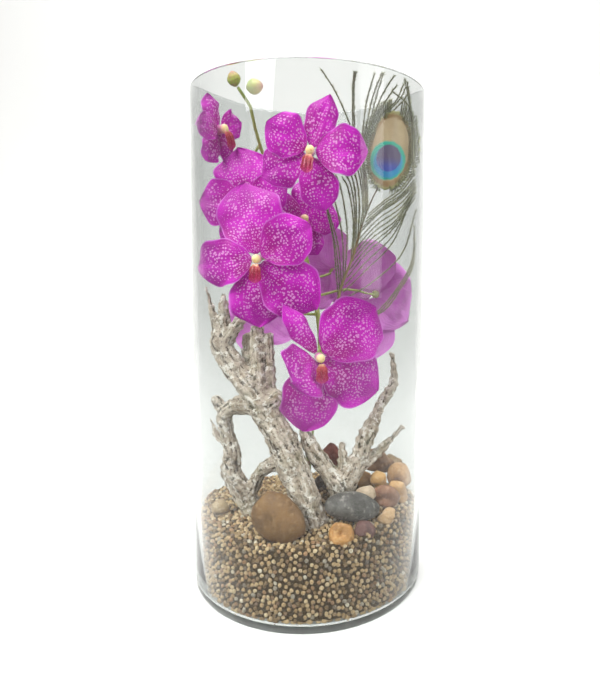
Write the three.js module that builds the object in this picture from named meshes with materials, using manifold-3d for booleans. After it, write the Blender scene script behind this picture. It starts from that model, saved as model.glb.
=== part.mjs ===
// Vanda orchid blooms, driftwood, pebbles and a peacock feather in a clear glass cylinder vase.
// Millimetres, +Z up, origin at the centre of the vase's foot. -Y is the front.
import * as THREE from 'three';
import { mergeVertices } from 'three/addons/utils/BufferGeometryUtils.js';
import Module from 'manifold-3d';

const wasm = await Module();
wasm.setup();

// ---- driving dimensions ----
const vaseRadius = 95;
const vaseHeight = 400;
const wall = 4;
const baseThickness = 5;
const rimRound = 1.5;
const gap = 0.4; // clearance between pieces that touch
const gravelRadius = vaseRadius - wall - gap;
const gravelLevel = 62;
const tepalThickness = 1.2;
const columnRadius = 3.6;
const columnBack = -4;
const columnFront = 8;

const colours = {
  glass: 0xe8eeee,
  gravel: 0xb5a68c,
  wood: 0xc9c1b2,
  magenta: 0xaa22b4,
  paleMagenta: 0xc26ccc,
  lip: 0x8c1238,
  column: 0xf0dca0,
  stem: 0x7d8a3e,
  bud: 0x8f9a4c,
  feather: 0x5d6242,
};

const object = new THREE.Group();

// ---- helpers ----

// Merges shared corners, turns the faces outwards and drops everything but the position.
function closed(geometry) {
  const bare = geometry.clone();
  bare.deleteAttribute('normal');
  bare.deleteAttribute('uv');
  const merged = mergeVertices(bare, 1e-3);
  const p = merged.attributes.position;
  const index = merged.index;
  const [a, b, c] = [new THREE.Vector3(), new THREE.Vector3(), new THREE.Vector3()];
  let volume = 0;
  for (let i = 0; i < index.count; i += 3) {
    a.fromBufferAttribute(p, index.getX(i));
    b.fromBufferAttribute(p, index.getX(i + 1));
    c.fromBufferAttribute(p, index.getX(i + 2));
    volume += a.dot(b.cross(c));
  }
  if (volume < 0) {
    for (let i = 0; i < index.count; i += 3) {
      const first = index.getX(i);
      index.setX(i, index.getX(i + 1));
      index.setX(i + 1, first);
    }
  }
  return merged;
}

function toSolid(geometry) {
  const g = closed(geometry);
  return new wasm.Manifold(new wasm.Mesh({
    numProp: 3,
    vertProperties: new Float32Array(g.attributes.position.array),
    triVerts: new Uint32Array(g.index.array),
  }));
}

function toGeometry(solid) {
  const mesh = solid.getMesh();
  const g = new THREE.BufferGeometry();
  g.setAttribute('position', new THREE.BufferAttribute(new Float32Array(mesh.vertProperties), 3));
  g.setIndex(new THREE.BufferAttribute(new Uint32Array(mesh.triVerts), 1));
  return g;
}

function joined(geometries) {
  return toGeometry(geometries.map(toSolid).reduce((whole, part) => whole.add(part)));
}

function addPiece(name, geometry, colour, roughness = 0.6, extra = {}) {
  const material = new THREE.MeshStandardMaterial({ color: colour, roughness, metalness: 0, ...extra });
  const mesh = new THREE.Mesh(closed(geometry), material);
  mesh.name = name;
  object.add(mesh);
  return mesh;
}

function vectors(points) {
  return points.map(([x, y, z]) => new THREE.Vector3(x, y, z));
}

function interpolate(values, t) {
  const place = t * (values.length - 1);
  const i = Math.min(Math.floor(place), values.length - 2);
  return values[i] + (values[i + 1] - values[i]) * (place - i);
}

// A closed cylinder bent along a smooth curve through the points, with its radius following radii.
function limb(points, radii, sides = 6, steps = (points.length - 1) * 2) {
  const curve = new THREE.CatmullRomCurve3(vectors(points), false, 'centripetal');
  const frames = curve.computeFrenetFrames(steps, false);
  const bar = new THREE.CylinderGeometry(1, 1, 1, sides, steps);
  const p = bar.attributes.position;
  for (let i = 0; i < p.count; i++) {
    const t = p.getY(i) + 0.5;
    const k = Math.round(t * steps);
    const r = interpolate(radii, t);
    const at = curve.getPointAt(t);
    at.addScaledVector(frames.normals[k], p.getX(i) * r);
    at.addScaledVector(frames.binormals[k], p.getZ(i) * r);
    p.setXYZ(i, at.x, at.y, at.z);
  }
  return bar;
}

// ---- vase ----

function makeVase() {
  const r = vaseRadius;
  const inner = r - wall;
  const footRound = 2.5;
  const profile = [
    [0, 0], [r - footRound, 0], [r - 0.7, 0.7], [r, footRound],
    [r, vaseHeight - rimRound], [r - rimRound, vaseHeight], [inner + rimRound, vaseHeight],
    [inner, vaseHeight - rimRound], [inner, baseThickness + 3], [inner - 3, baseThickness], [0, baseThickness],
  ].map(([x, y]) => new THREE.Vector2(x, y));
  const lathe = new THREE.LatheGeometry(profile, 48);
  lathe.rotateX(Math.PI / 2);
  addPiece('glass_vase', lathe, colours.glass, 0.03, { transparent: true, opacity: 0.3 });
}

// ---- blooms ----

// A frame for a bloom: azimuth turns its face from the front towards +X, pitch lifts it,
// roll turns it clockwise as seen from its face.
function bloomFrame({ at, azimuth, pitch, roll }) {
  const [a, e] = [azimuth, pitch].map(THREE.MathUtils.degToRad);
  const face = new THREE.Vector3(Math.sin(a) * Math.cos(e), -Math.cos(a) * Math.cos(e), Math.sin(e));
  const up = new THREE.Vector3(0, 0, 1).addScaledVector(face, -face.z).normalize();
  up.applyAxisAngle(face, -THREE.MathUtils.degToRad(roll));
  const side = new THREE.Vector3().crossVectors(up, face);
  return new THREE.Matrix4().makeBasis(side, up, face).setPosition(...at);
}

// Half the width of a tepal at a share u of its length: a narrow claw, broadest past the middle.
function halfWidth(u, width, claw) {
  const swell = Math.sin(Math.PI * Math.pow(u, 1.15) * 0.93) ** 0.8;
  return Math.max(claw, width / 2 * swell);
}

// One tepal as a thin bent shell. angle is clockwise from straight up, lean and curl bend it
// towards the viewer when positive, cup lifts its edges and twist turns it about its midrib.
function tepalGeometry(t, across = 2, along = 4) {
  const { angle, length, width, lean = 0, curl = 0, cup = 0, twist = 0, start = 4, layer = 0 } = t;
  const { claw = 1.5, thickness = tepalThickness } = t;
  const deg = THREE.MathUtils.degToRad;
  const [dx, dy] = [Math.sin(deg(angle)), Math.cos(deg(angle))];
  const box = new THREE.BoxGeometry(2, 1, 1, across, along, 1);
  const p = box.attributes.position;
  const steps = 24;
  for (let i = 0; i < p.count; i++) {
    const [v, u, s] = [p.getX(i), p.getY(i) + 0.5, p.getZ(i)];
    let [out, rise] = [start, layer];
    for (let k = 0; k < steps; k++) {
      const bend = deg(lean + curl * u * (k + 0.5) / steps);
      out += Math.cos(bend) * length * u / steps;
      rise += Math.sin(bend) * length * u / steps;
    }
    const bend = deg(lean + curl * u);
    const turn = deg(twist * u);
    const half = halfWidth(u, width, claw);
    const sideways = v * half;
    const lift = cup * v * v * half + s * thickness;
    const flat = sideways * Math.cos(turn) - lift * Math.sin(turn);
    const raised = sideways * Math.sin(turn) + lift * Math.cos(turn);
    const far = out - Math.sin(bend) * raised;
    p.setXYZ(i, far * dx + flat * dy, far * dy - flat * dx, rise + Math.cos(bend) * raised);
  }
  return box;
}

// The column with the receptacle behind it, on the bloom's axis.
function columnGeometry() {
  const profile = [
    [0, columnBack], [columnRadius * 0.7, columnBack], [columnRadius, columnBack + 1.5],
    [columnRadius, 2], [columnRadius * 0.8, 6], [0, columnFront],
  ].map(([x, y]) => new THREE.Vector2(x, y));
  const lathe = new THREE.LatheGeometry(profile, 8);
  lathe.rotateX(Math.PI / 2);
  return lathe;
}

const tepalNames = ['dorsal_sepal', 'petal_right', 'lateral_sepal_right', 'lateral_sepal_left', 'petal_left'];
const plainBloom = {
  dorsal_sepal: { angle: 0, length: 42, width: 30, lean: -4, curl: -10, cup: -0.1 },
  petal_right: { angle: 78, length: 42, width: 34, lean: 6, curl: -6, cup: 0.1 },
  lateral_sepal_right: { angle: 142, length: 42, width: 34, lean: -4, curl: -10, cup: -0.1 },
  lateral_sepal_left: { angle: 218, length: 42, width: 34, lean: -4, curl: -10, cup: -0.1 },
  petal_left: { angle: 282, length: 42, width: 34, lean: 6, curl: -6, cup: 0.1 },
};
const sepalLayer = -1.5;
const lipTepal = {
  angle: 180, length: 13, width: 10, lean: 20, curl: -30, cup: 0.3, start: 3.2, layer: 7.5, claw: 2,
  thickness: 2,
};

function tepalsOf(bloom) {
  return tepalNames.map((name) => {
    const own = (bloom.tepals ?? {})[name] ?? {};
    const layer = name.includes('sepal') ? sepalLayer : 0;
    const size = bloom.size ?? 1;
    const tepal = { layer, ...plainBloom[name], ...own };
    return { ...tepal, name, length: tepal.length * size, width: tepal.width * size };
  });
}

const blooms = {
  bloom_top_left: {
    at: [-70, -14, 366], azimuth: 62, pitch: 5, roll: -10, size: 0.56, whole: true,
  },
  bloom_top: {
    at: [4, -46, 346], azimuth: 0, pitch: 5, roll: 8, size: 0.86,
    tepals: {
      dorsal_sepal: { length: 46, width: 26, angle: 10 },
      petal_right: { angle: 82, length: 44, width: 38 },
      petal_left: { angle: 292, length: 38, width: 34, lean: 14 },
      lateral_sepal_right: { angle: 158, length: 46, width: 32 },
      lateral_sepal_left: { angle: 238, length: 42, width: 34 },
    },
  },
  bloom_front_left: {
    at: [-36, -46, 266], azimuth: 0, pitch: 0, roll: 0,
    tepals: {
      dorsal_sepal: { angle: -11, length: 56, width: 46, lean: -8 },
      petal_right: { angle: 58, length: 43, width: 36, lean: 8 },
      lateral_sepal_right: { angle: 132, length: 54, width: 42, cup: 0 },
      lateral_sepal_left: { angle: 181, length: 48, width: 40, cup: 0, layer: -3.4 },
      petal_left: { angle: 264, length: 43, width: 34, lean: -8, curl: -14 },
    },
  },
  bloom_front_right: {
    at: [11, -52, 192], azimuth: 14, pitch: 0, roll: 0,
    tepals: {
      dorsal_sepal: { angle: -34, length: 44, width: 16, lean: 2, twist: -40 },
      petal_right: { angle: 50, length: 52, width: 48, lean: 4 },
      lateral_sepal_right: { angle: 122, length: 52, width: 44, cup: 0 },
      lateral_sepal_left: { angle: 190, length: 56, width: 42, cup: 0, layer: -3.4 },
      petal_left: { angle: 236, length: 26, width: 42, lean: 24, curl: 6 },
    },
  },
  bloom_upper_left: {
    at: [-48, -15, 308], azimuth: -8, pitch: 2, roll: -4, size: 0.85, whole: true,
    tepals: {
      dorsal_sepal: { angle: -8, length: 52, width: 52, lean: 0, curl: -4 },
      petal_right: { angle: 66, length: 40 },
      petal_left: { angle: 282, length: 44, width: 40 },
    },
  },
  bloom_middle: {
    at: [-6, 10, 300], azimuth: 25, pitch: 0, roll: 10, size: 0.75, whole: true,
  },
  bloom_back: {
    at: [20, 40, 254], azimuth: 175, pitch: 0, roll: 0, size: 0.9, whole: true,
  },
  bloom_right: {
    at: [58, 14, 236], azimuth: 158, pitch: 4, roll: 0, size: 1, whole: true,
    tepals: {
      dorsal_sepal: { angle: 8, length: 44, width: 44 },
      petal_right: { angle: 66, length: 42, width: 42 },
      petal_left: { angle: 292, length: 30, width: 38 },
      lateral_sepal_left: { angle: 236, length: 34, width: 38 },
      lateral_sepal_right: { angle: 176, length: 54, width: 38 },
    },
  },
  bloom_low_left: {
    at: [-46, 34, 216], azimuth: 200, pitch: -10, roll: 12, size: 0.8, whole: true,
  },
};

function makeBlooms() {
  for (const [name, bloom] of Object.entries(blooms)) {
    const frame = bloomFrame(bloom);
    const place = (geometry) => geometry.applyMatrix4(frame);
    if (bloom.whole) {
      const parts = tepalsOf(bloom).map((t) => tepalGeometry({ ...t, start: 2.5 }));
      addPiece(name, place(joined([...parts, columnGeometry(), tepalGeometry({ ...lipTepal, start: 1.5, layer: 6 })])), colours.magenta);
      continue;
    }
    for (const tepal of tepalsOf(bloom)) {
      addPiece(`${name}_${tepal.name}`, place(tepalGeometry(tepal, 3, 5)), colours.magenta);
    }
    addPiece(`${name}_column`, place(columnGeometry()), colours.column);
    addPiece(`${name}_lip`, place(tepalGeometry({ ...lipTepal, start: 4.2 })), colours.lip);
  }
}

// ---- flower spike ----

const spikePath = [
  [-4, 6, 40], [2, 4, 120], [10, 2, 190], [2, 14, 245], [-14, 24, 300],
  [-36, 5, 346], [-40, -26, 366], [-42, -38, 380], [-49, -46, 390],
];
const spikeRadii = [3, 2.8, 2.6, 2.4, 2.2, 2, 1.8, 1.6, 1.4];

// A point on a bloom's axis, behind its receptacle by the distance.
function behindBloom(name, distance) {
  return new THREE.Vector3(0, 0, columnBack - distance).applyMatrix4(bloomFrame(blooms[name])).toArray();
}

// Where each bloom's stalk leaves the spike, as a share of its length, and the points it bends through.
const stalks = {
  bloom_top_left: [0.87, [-50, 8, 352], [-68, 12, 356]],
  bloom_top: [0.8, [-14, -22, 345]],
  bloom_front_left: [0.58, [-16, -14, 266]],
  bloom_front_right: [0.41, [11, -18, 196]],
  bloom_upper_left: [0.71, [-38, 8, 314]],
  bloom_middle: [0.66, [-8, 22, 300]],
  bloom_back: [0.54, [14, 26, 252]],
  bloom_right: [0.5, [34, 14, 240]],
  bloom_low_left: [0.46, [-24, 20, 218]],
};

function makeSpike() {
  const spike = new THREE.CatmullRomCurve3(vectors(spikePath), false, 'centripetal');
  const parts = [limb(spikePath, spikeRadii, 6, 24)];
  for (const [name, [share, ...bends]] of Object.entries(stalks)) {
    const root = spike.getPointAt(share).toArray();
    parts.push(limb([root, ...bends, behindBloom(name, 4), behindBloom(name, gap)], [1.6, 1.4, 1.3], 4, 6));
  }
  addPiece('spike_stem', joined(parts), colours.stem);
}

function makeBud(name, at, lean, length, radius) {
  const profile = [[0, 0], [radius * 0.6, length * 0.12], [radius, length * 0.42], [radius * 0.7, length * 0.8],
    [0, length]].map(([x, y]) => new THREE.Vector2(x, y));
  const bud = new THREE.LatheGeometry(profile, 8);
  bud.applyQuaternion(new THREE.Quaternion().setFromUnitVectors(
    new THREE.Vector3(0, 1, 0), new THREE.Vector3(...lean).normalize()));
  bud.translate(...at);
  addPiece(name, bud, colours.bud);
}

// ---- driftwood ----

const trunkLimbs = [
  [[[14, -57, 46], [2, -50, 80], [-12, -43, 109], [-23, -38, 131], [-33, -33, 150]], [8, 11, 12, 11, 12]],
  [[[-33, -33, 150], [-47, -29, 166], [-60, -24, 182], [-71, -18, 198], [-70, -16, 214]], [11, 10, 9, 9, 5]],
  [[[-72, -18, 200], [-76, -17, 218], [-84, -14, 244]], [5, 3, 1.4]],
  [[[-68, -17, 204], [-68, -17, 226], [-69, -16, 238]], [6, 4, 1.4]],
  [[[-66, -20, 198], [-58, -24, 210], [-52, -27, 218]], [6, 5, 4.5]],
  [[[-36, -32, 152], [-38, -27, 176], [-39, -24, 198], [-41, -22, 212]], [9, 7, 6, 5]],
  [[[-30, -30, 156], [-30, -26, 182], [-31, -24, 206]], [6, 4, 3.5]],
  [[[-40, -26, 158], [-48, -14, 180], [-49, -8, 204]], [8, 6, 5]],
  [[[-33, -33, 150], [-24, -36, 154], [-18, -36, 160]], [10, 8, 7]],
  [[[-38, -26, 50], [-50, -24, 73], [-61, -22, 91], [-62, -20, 107], [-66, -18, 124], [-68, -18, 138],
    [-58, -22, 147], [-36, -32, 150]], [9, 9, 8, 8, 5, 6, 7, 9]],
  [[[-66, -18, 138], [-74, -15, 146], [-76, -14, 152]], [5, 4, 3]],
  [[[-62, -20, 112], [-74, -16, 120], [-82, -12, 134]], [4, 3, 1.2]],
  [[[-12, -42, 108], [-34, -32, 98], [-44, -26, 78]], [6, 5, 5]],
];
const forkLimbs = [
  [[[31, -36, 44], [30, -36, 70], [28, -36, 86]], [9, 9, 9]],
  [[[28, -36, 84], [17, -34, 98], [2, -29, 119], [-3, -24, 134]], [9, 7, 6, 4]],
  [[[28, -35, 86], [29, -32, 102], [28, -28, 120]], [7, 4.5, 3]],
  [[[29, -36, 82], [41, -30, 104], [52, -22, 130], [63, -14, 150], [72, -8, 163]], [9, 7, 5.5, 4.5, 4]],
  [[[71, -8, 160], [72, -7, 174], [70, -6, 188]], [4, 2.4, 1.4]],
  [[[40, -30, 98], [58, -20, 108], [80, -10, 127]], [5, 3.4, 2.6]],
];

function makeWood(name, limbs) {
  addPiece(name, joined(limbs.map(([points, radii]) => limb(points, radii))), colours.wood, 0.85);
}

// The same limbs, wider by the gap, to cut their places in the gravel.
function widened(limbs, extra) {
  return limbs.map(([points, radii]) => toSolid(limb(points, radii.map((r) => r + extra))));
}

// ---- pebbles ----

// name, centre, half sizes, turn about Z in degrees, colour
const pebbles = [
  ['pebble_brown_egg', [-18, -73, 77], [18.5, 10, 18.5], 4, 0x8a6b45],
  ['pebble_dark_grey', [36, -61, 81], [18, 10, 11], -6, 0x5d5f60],
  ['pebble_orange', [28, -78, 67], [7.5, 6, 7.5], 0, 0xc08a4a],
  ['pebble_plum', [44, -71, 66], [7.5, 5.5, 6], 20, 0x6d4a45],
  ['pebble_tan_front', [62, -58, 72], [6.5, 5.5, 5], 30, 0xc8a376],
  ['pebble_pale_low', [47, -44, 82], [6.5, 5.5, 6], 10, 0xcbb49a],
  ['pebble_russet', [62, -44, 81], [8.5, 6.5, 7], -20, 0x93664c],
  ['pebble_pale_orange', [73, -32, 80], [7, 6.5, 7.5], 35, 0xd2a468],
  ['pebble_tan_left', [45, -18, 86], [6, 5.5, 5.5], 0, 0xc29560],
  ['pebble_tan_right', [59, -28, 88], [6.5, 5.5, 5.5], 15, 0xc79c62],
  ['pebble_brown_chunk', [60, -2, 94], [13, 8, 8], 5, 0x8f6a4c],
  ['pebble_sandy_big', [76, -14, 86], [8.5, 8, 8], -10, 0xb88c5a],
  ['pebble_behind', [73, 9, 88], [7, 7, 6.5], 0, 0xa08462],
  ['pebble_dark_red', [18, -2, 96], [7.5, 7, 11], 10, 0x7a3d30],
  ['pebble_dark_brown', [14, -14, 76], [8, 7, 10], 0, 0x4f3d33],
  ['pebble_brown_back', [-8, -6, 92], [7.5, 7, 9], 0, 0x8a6a52],
  ['pebble_small_tan', [-70, -30, 66], [6, 5, 5.5], 10, 0xb39a74],
];

// A rounded stone: a subdivided icosahedron pushed in and out by a few slow waves.
function pebbleGeometry([, at, size, turn], detail, extra = 0) {
  const stone = new THREE.IcosahedronGeometry(1, detail);
  const p = stone.attributes.position;
  const d = new THREE.Vector3();
  for (let i = 0; i < p.count; i++) {
    d.fromBufferAttribute(p, i);
    const bump = 1 + 0.04 * Math.sin(2.3 * d.x + at[0]) + 0.04 * Math.sin(2.7 * d.z + at[1]);
    p.setXYZ(i, d.x * (size[0] * bump + extra), d.y * (size[1] * bump + extra), d.z * (size[2] * bump + extra));
  }
  stone.rotateZ(THREE.MathUtils.degToRad(turn));
  stone.translate(...at);
  return stone;
}

function stoneDetail(pebble) {
  return pebble[2][0] > 15 ? 3 : 1;
}

// ---- gravel ----

// Height of the gravel's surface: it falls away to the back and is heaped under the pebbles.
function gravelHeight(x, y) {
  const heap = (cx, cy, reach, high) => high * Math.exp(-((x - cx) ** 2 + (y - cy) ** 2) / reach ** 2);
  const fall = 12 * THREE.MathUtils.smoothstep(y, -10, 90);
  return gravelLevel - fall + heap(58, -20, 34, 20) + heap(40, -60, 30, 5) + heap(10, -8, 26, 18);
}

function makeGravel() {
  const rings = 4;
  const chamferRadius = gravelRadius - 3.2;
  const profile = [[0, baseThickness + gap], [chamferRadius, baseThickness + gap],
    [gravelRadius, baseThickness + 3 + gap], [gravelRadius, gravelLevel]];
  for (let k = rings; k >= 0; k--) {
    profile.push([gravelRadius * k / (rings + 1), gravelLevel + 1]);
  }
  const bed = new THREE.LatheGeometry(profile.map(([x, y]) => new THREE.Vector2(x, y)), 32);
  bed.rotateX(Math.PI / 2);
  const q = bed.attributes.position;
  for (let i = 0; i < q.count; i++) {
    if (q.getZ(i) >= gravelLevel - 1e-6) {
      q.setZ(i, gravelHeight(q.getX(i), q.getY(i)));
    }
  }
  let solid = toSolid(bed);
  const cutters = [...widened(trunkLimbs, gap * 1.5), ...widened(forkLimbs, gap * 1.5)];
  cutters.push(toSolid(limb(spikePath, spikeRadii.map((r) => r + gap * 1.5), 6, 24)));
  for (const pebble of pebbles) {
    cutters.push(toSolid(pebbleGeometry(pebble, stoneDetail(pebble), gap)));
  }
  for (const cutter of cutters) {
    solid = solid.subtract(cutter);
  }
  addPiece('gravel_bed', toGeometry(solid), colours.gravel, 0.95);
}

// ---- peacock feather ----

const quillPath = [[20, -14, 176], [24, -15, 233], [38, -20, 270], [47, -25, 308], [58, -32, 330]];
const eyeCentre = [64, -36, 348];

// One barb: leaves the quill at a share of its length and bends towards its tip.
function barb(share, tip, bow) {
  const quill = new THREE.CatmullRomCurve3(vectors(quillPath), false, 'centripetal');
  const root = quill.getPointAt(share);
  const end = new THREE.Vector3(...tip);
  const middle = root.clone().add(end).multiplyScalar(0.5).add(new THREE.Vector3(...bow));
  return limb([root.toArray(), middle.toArray(), end.toArray()], [0.8, 0.7, 0.5], 3, 4);
}

function makeFeather() {
  const parts = [limb([...quillPath, eyeCentre], [1.6, 1.5, 1.3, 1.1, 1, 0.8], 6, 12)];
  const eye = new THREE.SphereGeometry(1, 10, 6);
  eye.scale(19, 1.6, 31);
  eye.rotateX(THREE.MathUtils.degToRad(12));
  eye.rotateY(THREE.MathUtils.degToRad(6));
  eye.translate(...eyeCentre);
  parts.push(eye);
  const leftTips = 7;
  for (let i = 0; i < leftTips; i++) {
    const k = i / (leftTips - 1);
    parts.push(barb(0.30 + 0.45 * k, [12 + 22 * k, -20 - 6 * k, 318 + 18 * k], [-3, 0, 6]));
  }
  const rightTips = 8;
  for (let i = 0; i < rightTips; i++) {
    const k = i / (rightTips - 1);
    parts.push(barb(0.12 + 0.68 * k, [80 - 3 * k, -26 - 6 * k, 268 + 50 * k], [4, 0, -6]));
  }
  const topTips = 6;
  for (let i = 0; i < topTips; i++) {
    const k = i / (topTips - 1);
    parts.push(barb(0.9, [44 + 27 * k, -68 + 14 * k, 397], [-4 + 14 * k, 6, 4]));
  }
  addPiece('peacock_feather', joined(parts), colours.feather, 0.7);
}

// ---- assembly ----

makeVase();
makeGravel();
makeWood('driftwood_trunk', trunkLimbs);
makeWood('driftwood_fork', forkLimbs);
makeSpike();
makeBud('bud_top', [-50.5, -47, 391], [-0.25, -0.1, 1], 9, 4.5);
makeBud('bud_second', [-43, -44, 390], [0.9, 0, 0.1], 12, 5);
makeBlooms();
makeFeather();
for (const pebble of pebbles) {
  addPiece(pebble[0], pebbleGeometry(pebble, stoneDetail(pebble)), pebble[4], 0.7);
}

export default object;
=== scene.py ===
import bmesh
import bpy
import math
import numpy as np
from mathutils import Matrix, Vector
from mathutils.kdtree import KDTree


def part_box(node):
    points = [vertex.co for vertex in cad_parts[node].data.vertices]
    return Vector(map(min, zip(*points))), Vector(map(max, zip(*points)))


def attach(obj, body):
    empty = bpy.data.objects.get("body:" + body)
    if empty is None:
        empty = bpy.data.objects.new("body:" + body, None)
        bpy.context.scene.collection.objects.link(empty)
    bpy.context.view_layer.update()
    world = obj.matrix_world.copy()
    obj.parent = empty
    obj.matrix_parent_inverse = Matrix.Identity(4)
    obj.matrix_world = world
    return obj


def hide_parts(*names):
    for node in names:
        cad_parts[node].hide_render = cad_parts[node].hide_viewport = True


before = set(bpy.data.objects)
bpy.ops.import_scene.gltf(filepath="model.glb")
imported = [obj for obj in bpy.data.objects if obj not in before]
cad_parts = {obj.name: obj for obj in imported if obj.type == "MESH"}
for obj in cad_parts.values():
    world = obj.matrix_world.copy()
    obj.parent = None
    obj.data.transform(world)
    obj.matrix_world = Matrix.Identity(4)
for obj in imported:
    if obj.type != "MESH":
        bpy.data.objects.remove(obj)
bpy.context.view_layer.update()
mm = 0.001
scene = bpy.context.scene


camera = {
    "place": (0.0298, -0.4829, 0.2663),  # metres: close to the vase, a little right of its axis
    "pitch": 3.58,  # degrees below level
    "roll": 0.21,
    "focal": 29.5,
    "shift": (-0.0629, -0.0790),
}


def makeCamera(values):
    data = bpy.data.cameras.new("camera")
    data.lens = values["focal"]
    data.sensor_width = 36.0
    data.clip_start = 0.01
    data.shift_x, data.shift_y = values["shift"]
    eye = bpy.data.objects.new("camera", data)
    pitch, roll = math.radians(values["pitch"]), math.radians(values["roll"])
    ahead = Vector((0.0, math.cos(pitch), -math.sin(pitch)))
    right, up = Vector((1.0, 0.0, 0.0)), Vector((0.0, math.sin(pitch), math.cos(pitch)))
    turned = right * math.cos(roll) + up * math.sin(roll)
    raised = up * math.cos(roll) - right * math.sin(roll)
    eye.matrix_world = Matrix.Translation(values["place"]) @ Matrix((turned, raised,
        -ahead)).transposed().to_4x4()
    scene.collection.objects.link(eye)
    scene.camera = eye


makeCamera(camera)


def toLinear(code):
    channels = [int(code[i : i + 2], 16) / 255 for i in (1, 3, 5)]
    linear = [c / 12.92 if c <= 0.04045 else ((c + 0.055) / 1.055) ** 2.4 for c in channels]
    return (*linear, 1.0)


def plainValue(value):
    # a colour written as sRGB hex becomes linear; anything else stays as it is
    return toLinear(value) if isinstance(value, str) and value.startswith("#") else value


def addNode(tree, kind, inputs=None, **settings):
    node = tree.nodes.new(kind)
    for name, value in settings.items():
        setattr(node, name, value)
    for key, value in (inputs or {}).items():
        if isinstance(value, bpy.types.NodeSocket):
            tree.links.new(value, node.inputs[key])
        else:
            node.inputs[key].default_value = plainValue(value)
    return node


def newMaterial(name, values):
    material = bpy.data.materials.new(name)
    material.use_nodes = True
    tree = material.node_tree
    shader = tree.nodes["Principled BSDF"]
    for key, value in values.items():
        shader.inputs[key].default_value = plainValue(value)
    return material, tree, shader


def mixColours(tree, factor, first, second):
    inputs = {0: factor, 6: first, 7: second}
    return addNode(tree, "ShaderNodeMix", inputs, data_type="RGBA").outputs[2]


def rampOf(tree, value, stops):
    node = addNode(tree, "ShaderNodeValToRGB", {0: value})
    elements = node.color_ramp.elements
    while len(elements) < len(stops):
        elements.new(0.5)
    for element, (place, colour) in zip(elements, stops):
        element.position = place
        element.color = toLinear(colour)
    return node.outputs[0]


def rangeOf(tree, value, low, high, toLow=0.0, toHigh=1.0):
    inputs = {0: value, 1: low, 2: high, 3: toLow, 4: toHigh}
    return addNode(tree, "ShaderNodeMapRange", inputs, interpolation_type="SMOOTHSTEP").outputs[0]


def maths(tree, operation, first, second=0.0):
    return addNode(tree, "ShaderNodeMath", {0: first, 1: second}, operation=operation).outputs[0]


def noiseOf(tree, place, scale, detail=3.0, roughness=0.55):
    inputs = {"Vector": place, "Scale": scale, "Detail": detail, "Roughness": roughness}
    return addNode(tree, "ShaderNodeTexNoise", inputs).outputs[0]


def objectPlace(tree):
    return addNode(tree, "ShaderNodeTexCoord").outputs["Object"]


def attributeOf(tree, name, output="Fac"):
    return addNode(tree, "ShaderNodeAttribute", attribute_name=name).outputs[output]


def bumpInto(tree, shader, height, strength, distance):
    inputs = {"Height": height, "Strength": strength, "Distance": distance}
    bump = addNode(tree, "ShaderNodeBump", inputs)
    tree.links.new(bump.outputs[0], shader.inputs["Normal"])


def meshObject(name, points, faces, material):
    mesh = bpy.data.meshes.new(name)
    mesh.from_pydata(np.asarray(points, float).tolist(), [], [list(map(int, f)) for f in faces])
    mesh.update()
    mesh.polygons.foreach_set("use_smooth", [True] * len(mesh.polygons))
    mesh.materials.append(material)
    piece = bpy.data.objects.new(name, mesh)
    scene.collection.objects.link(piece)
    return piece


def sheetFaces(along, across):
    # a closed thin sheet: a front and a rear grid of points, and the strip that joins their borders
    count = along * across

    def cell(i, j):
        return i * across + j

    faces = []
    for i in range(along - 1):
        for j in range(across - 1):
            quad = [cell(i, j), cell(i, j + 1), cell(i + 1, j + 1), cell(i + 1, j)]
            faces.append(quad[::-1])
            faces.append([k + count for k in quad])
    border = [cell(0, j) for j in range(across)]
    border += [cell(i, across - 1) for i in range(1, along)]
    border += [cell(along - 1, j) for j in range(across - 2, -1, -1)]
    border += [cell(i, 0) for i in range(along - 2, 0, -1)]
    return faces + [[a, b, b + count, a + count] for a, b in zip(border, border[1:] + border[:1])]


def ringFaces(rings, count):
    # the wall between rings of points, and a cap on each end
    faces = []
    for i in range(rings - 1):
        low, high = i * count, (i + 1) * count
        faces += [[low + k, low + (k + 1) % count, high + (k + 1) % count,
            high + k] for k in range(count)]
    return faces + [list(range(count))[::-1], [(rings - 1) * count + k for k in range(count)]]


def keepValues(piece, name, values, kind="FLOAT"):
    attribute = piece.data.attributes.new(name, kind, "POINT")
    key = "vector" if kind == "FLOAT_VECTOR" else "value"
    attribute.data.foreach_set(key, np.asarray(values, np.float32).ravel())


def pointsOf(mesh):
    points = np.empty(len(mesh.vertices) * 3, np.float32)
    mesh.vertices.foreach_get("co", points)
    return points.reshape(-1, 3).astype(float)


def normalsOf(mesh):
    normals = np.empty(len(mesh.vertices) * 3, np.float32)
    mesh.vertices.foreach_get("normal", normals)
    return normals.reshape(-1, 3).astype(float)


def placePoints(mesh, points):
    mesh.vertices.foreach_set("co", np.asarray(points, np.float32).ravel())
    mesh.update()


def madePlain(piece):
    bpy.context.view_layer.update()
    graph = bpy.context.evaluated_depsgraph_get()
    made = bpy.data.meshes.new_from_object(piece.evaluated_get(graph), depsgraph=graph)
    piece.modifiers.clear()
    piece.data = made
    return piece


def settle(piece, node):
    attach(piece, "root")
    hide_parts(node)


def boxMiddle(node):
    low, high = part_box(node)
    return (np.array(low) + np.array(high)) / 2


def boxHalf(node):
    low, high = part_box(node)
    return (np.array(high) - np.array(low)) / 2


def waves(points, size, seed, count=5):
    # a smooth uneven field from -1 to 1, made of a few turned sine waves of about the size in millimetres
    draw = np.random.default_rng(seed)
    total = np.zeros(len(points))
    for _ in range(count):
        way = draw.normal(size=3)
        way /= np.linalg.norm(way)
        length = size * draw.uniform(0.7, 1.5)
        total += np.sin(points @ way * (2 * math.pi / (length * mm)) + draw.uniform(0, 6.28))
    return total / count


vase = {"segments": 160, "wall": 4.0, "base": 5.0, "rimRound": 1.6, "footRound": 5.0}


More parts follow.
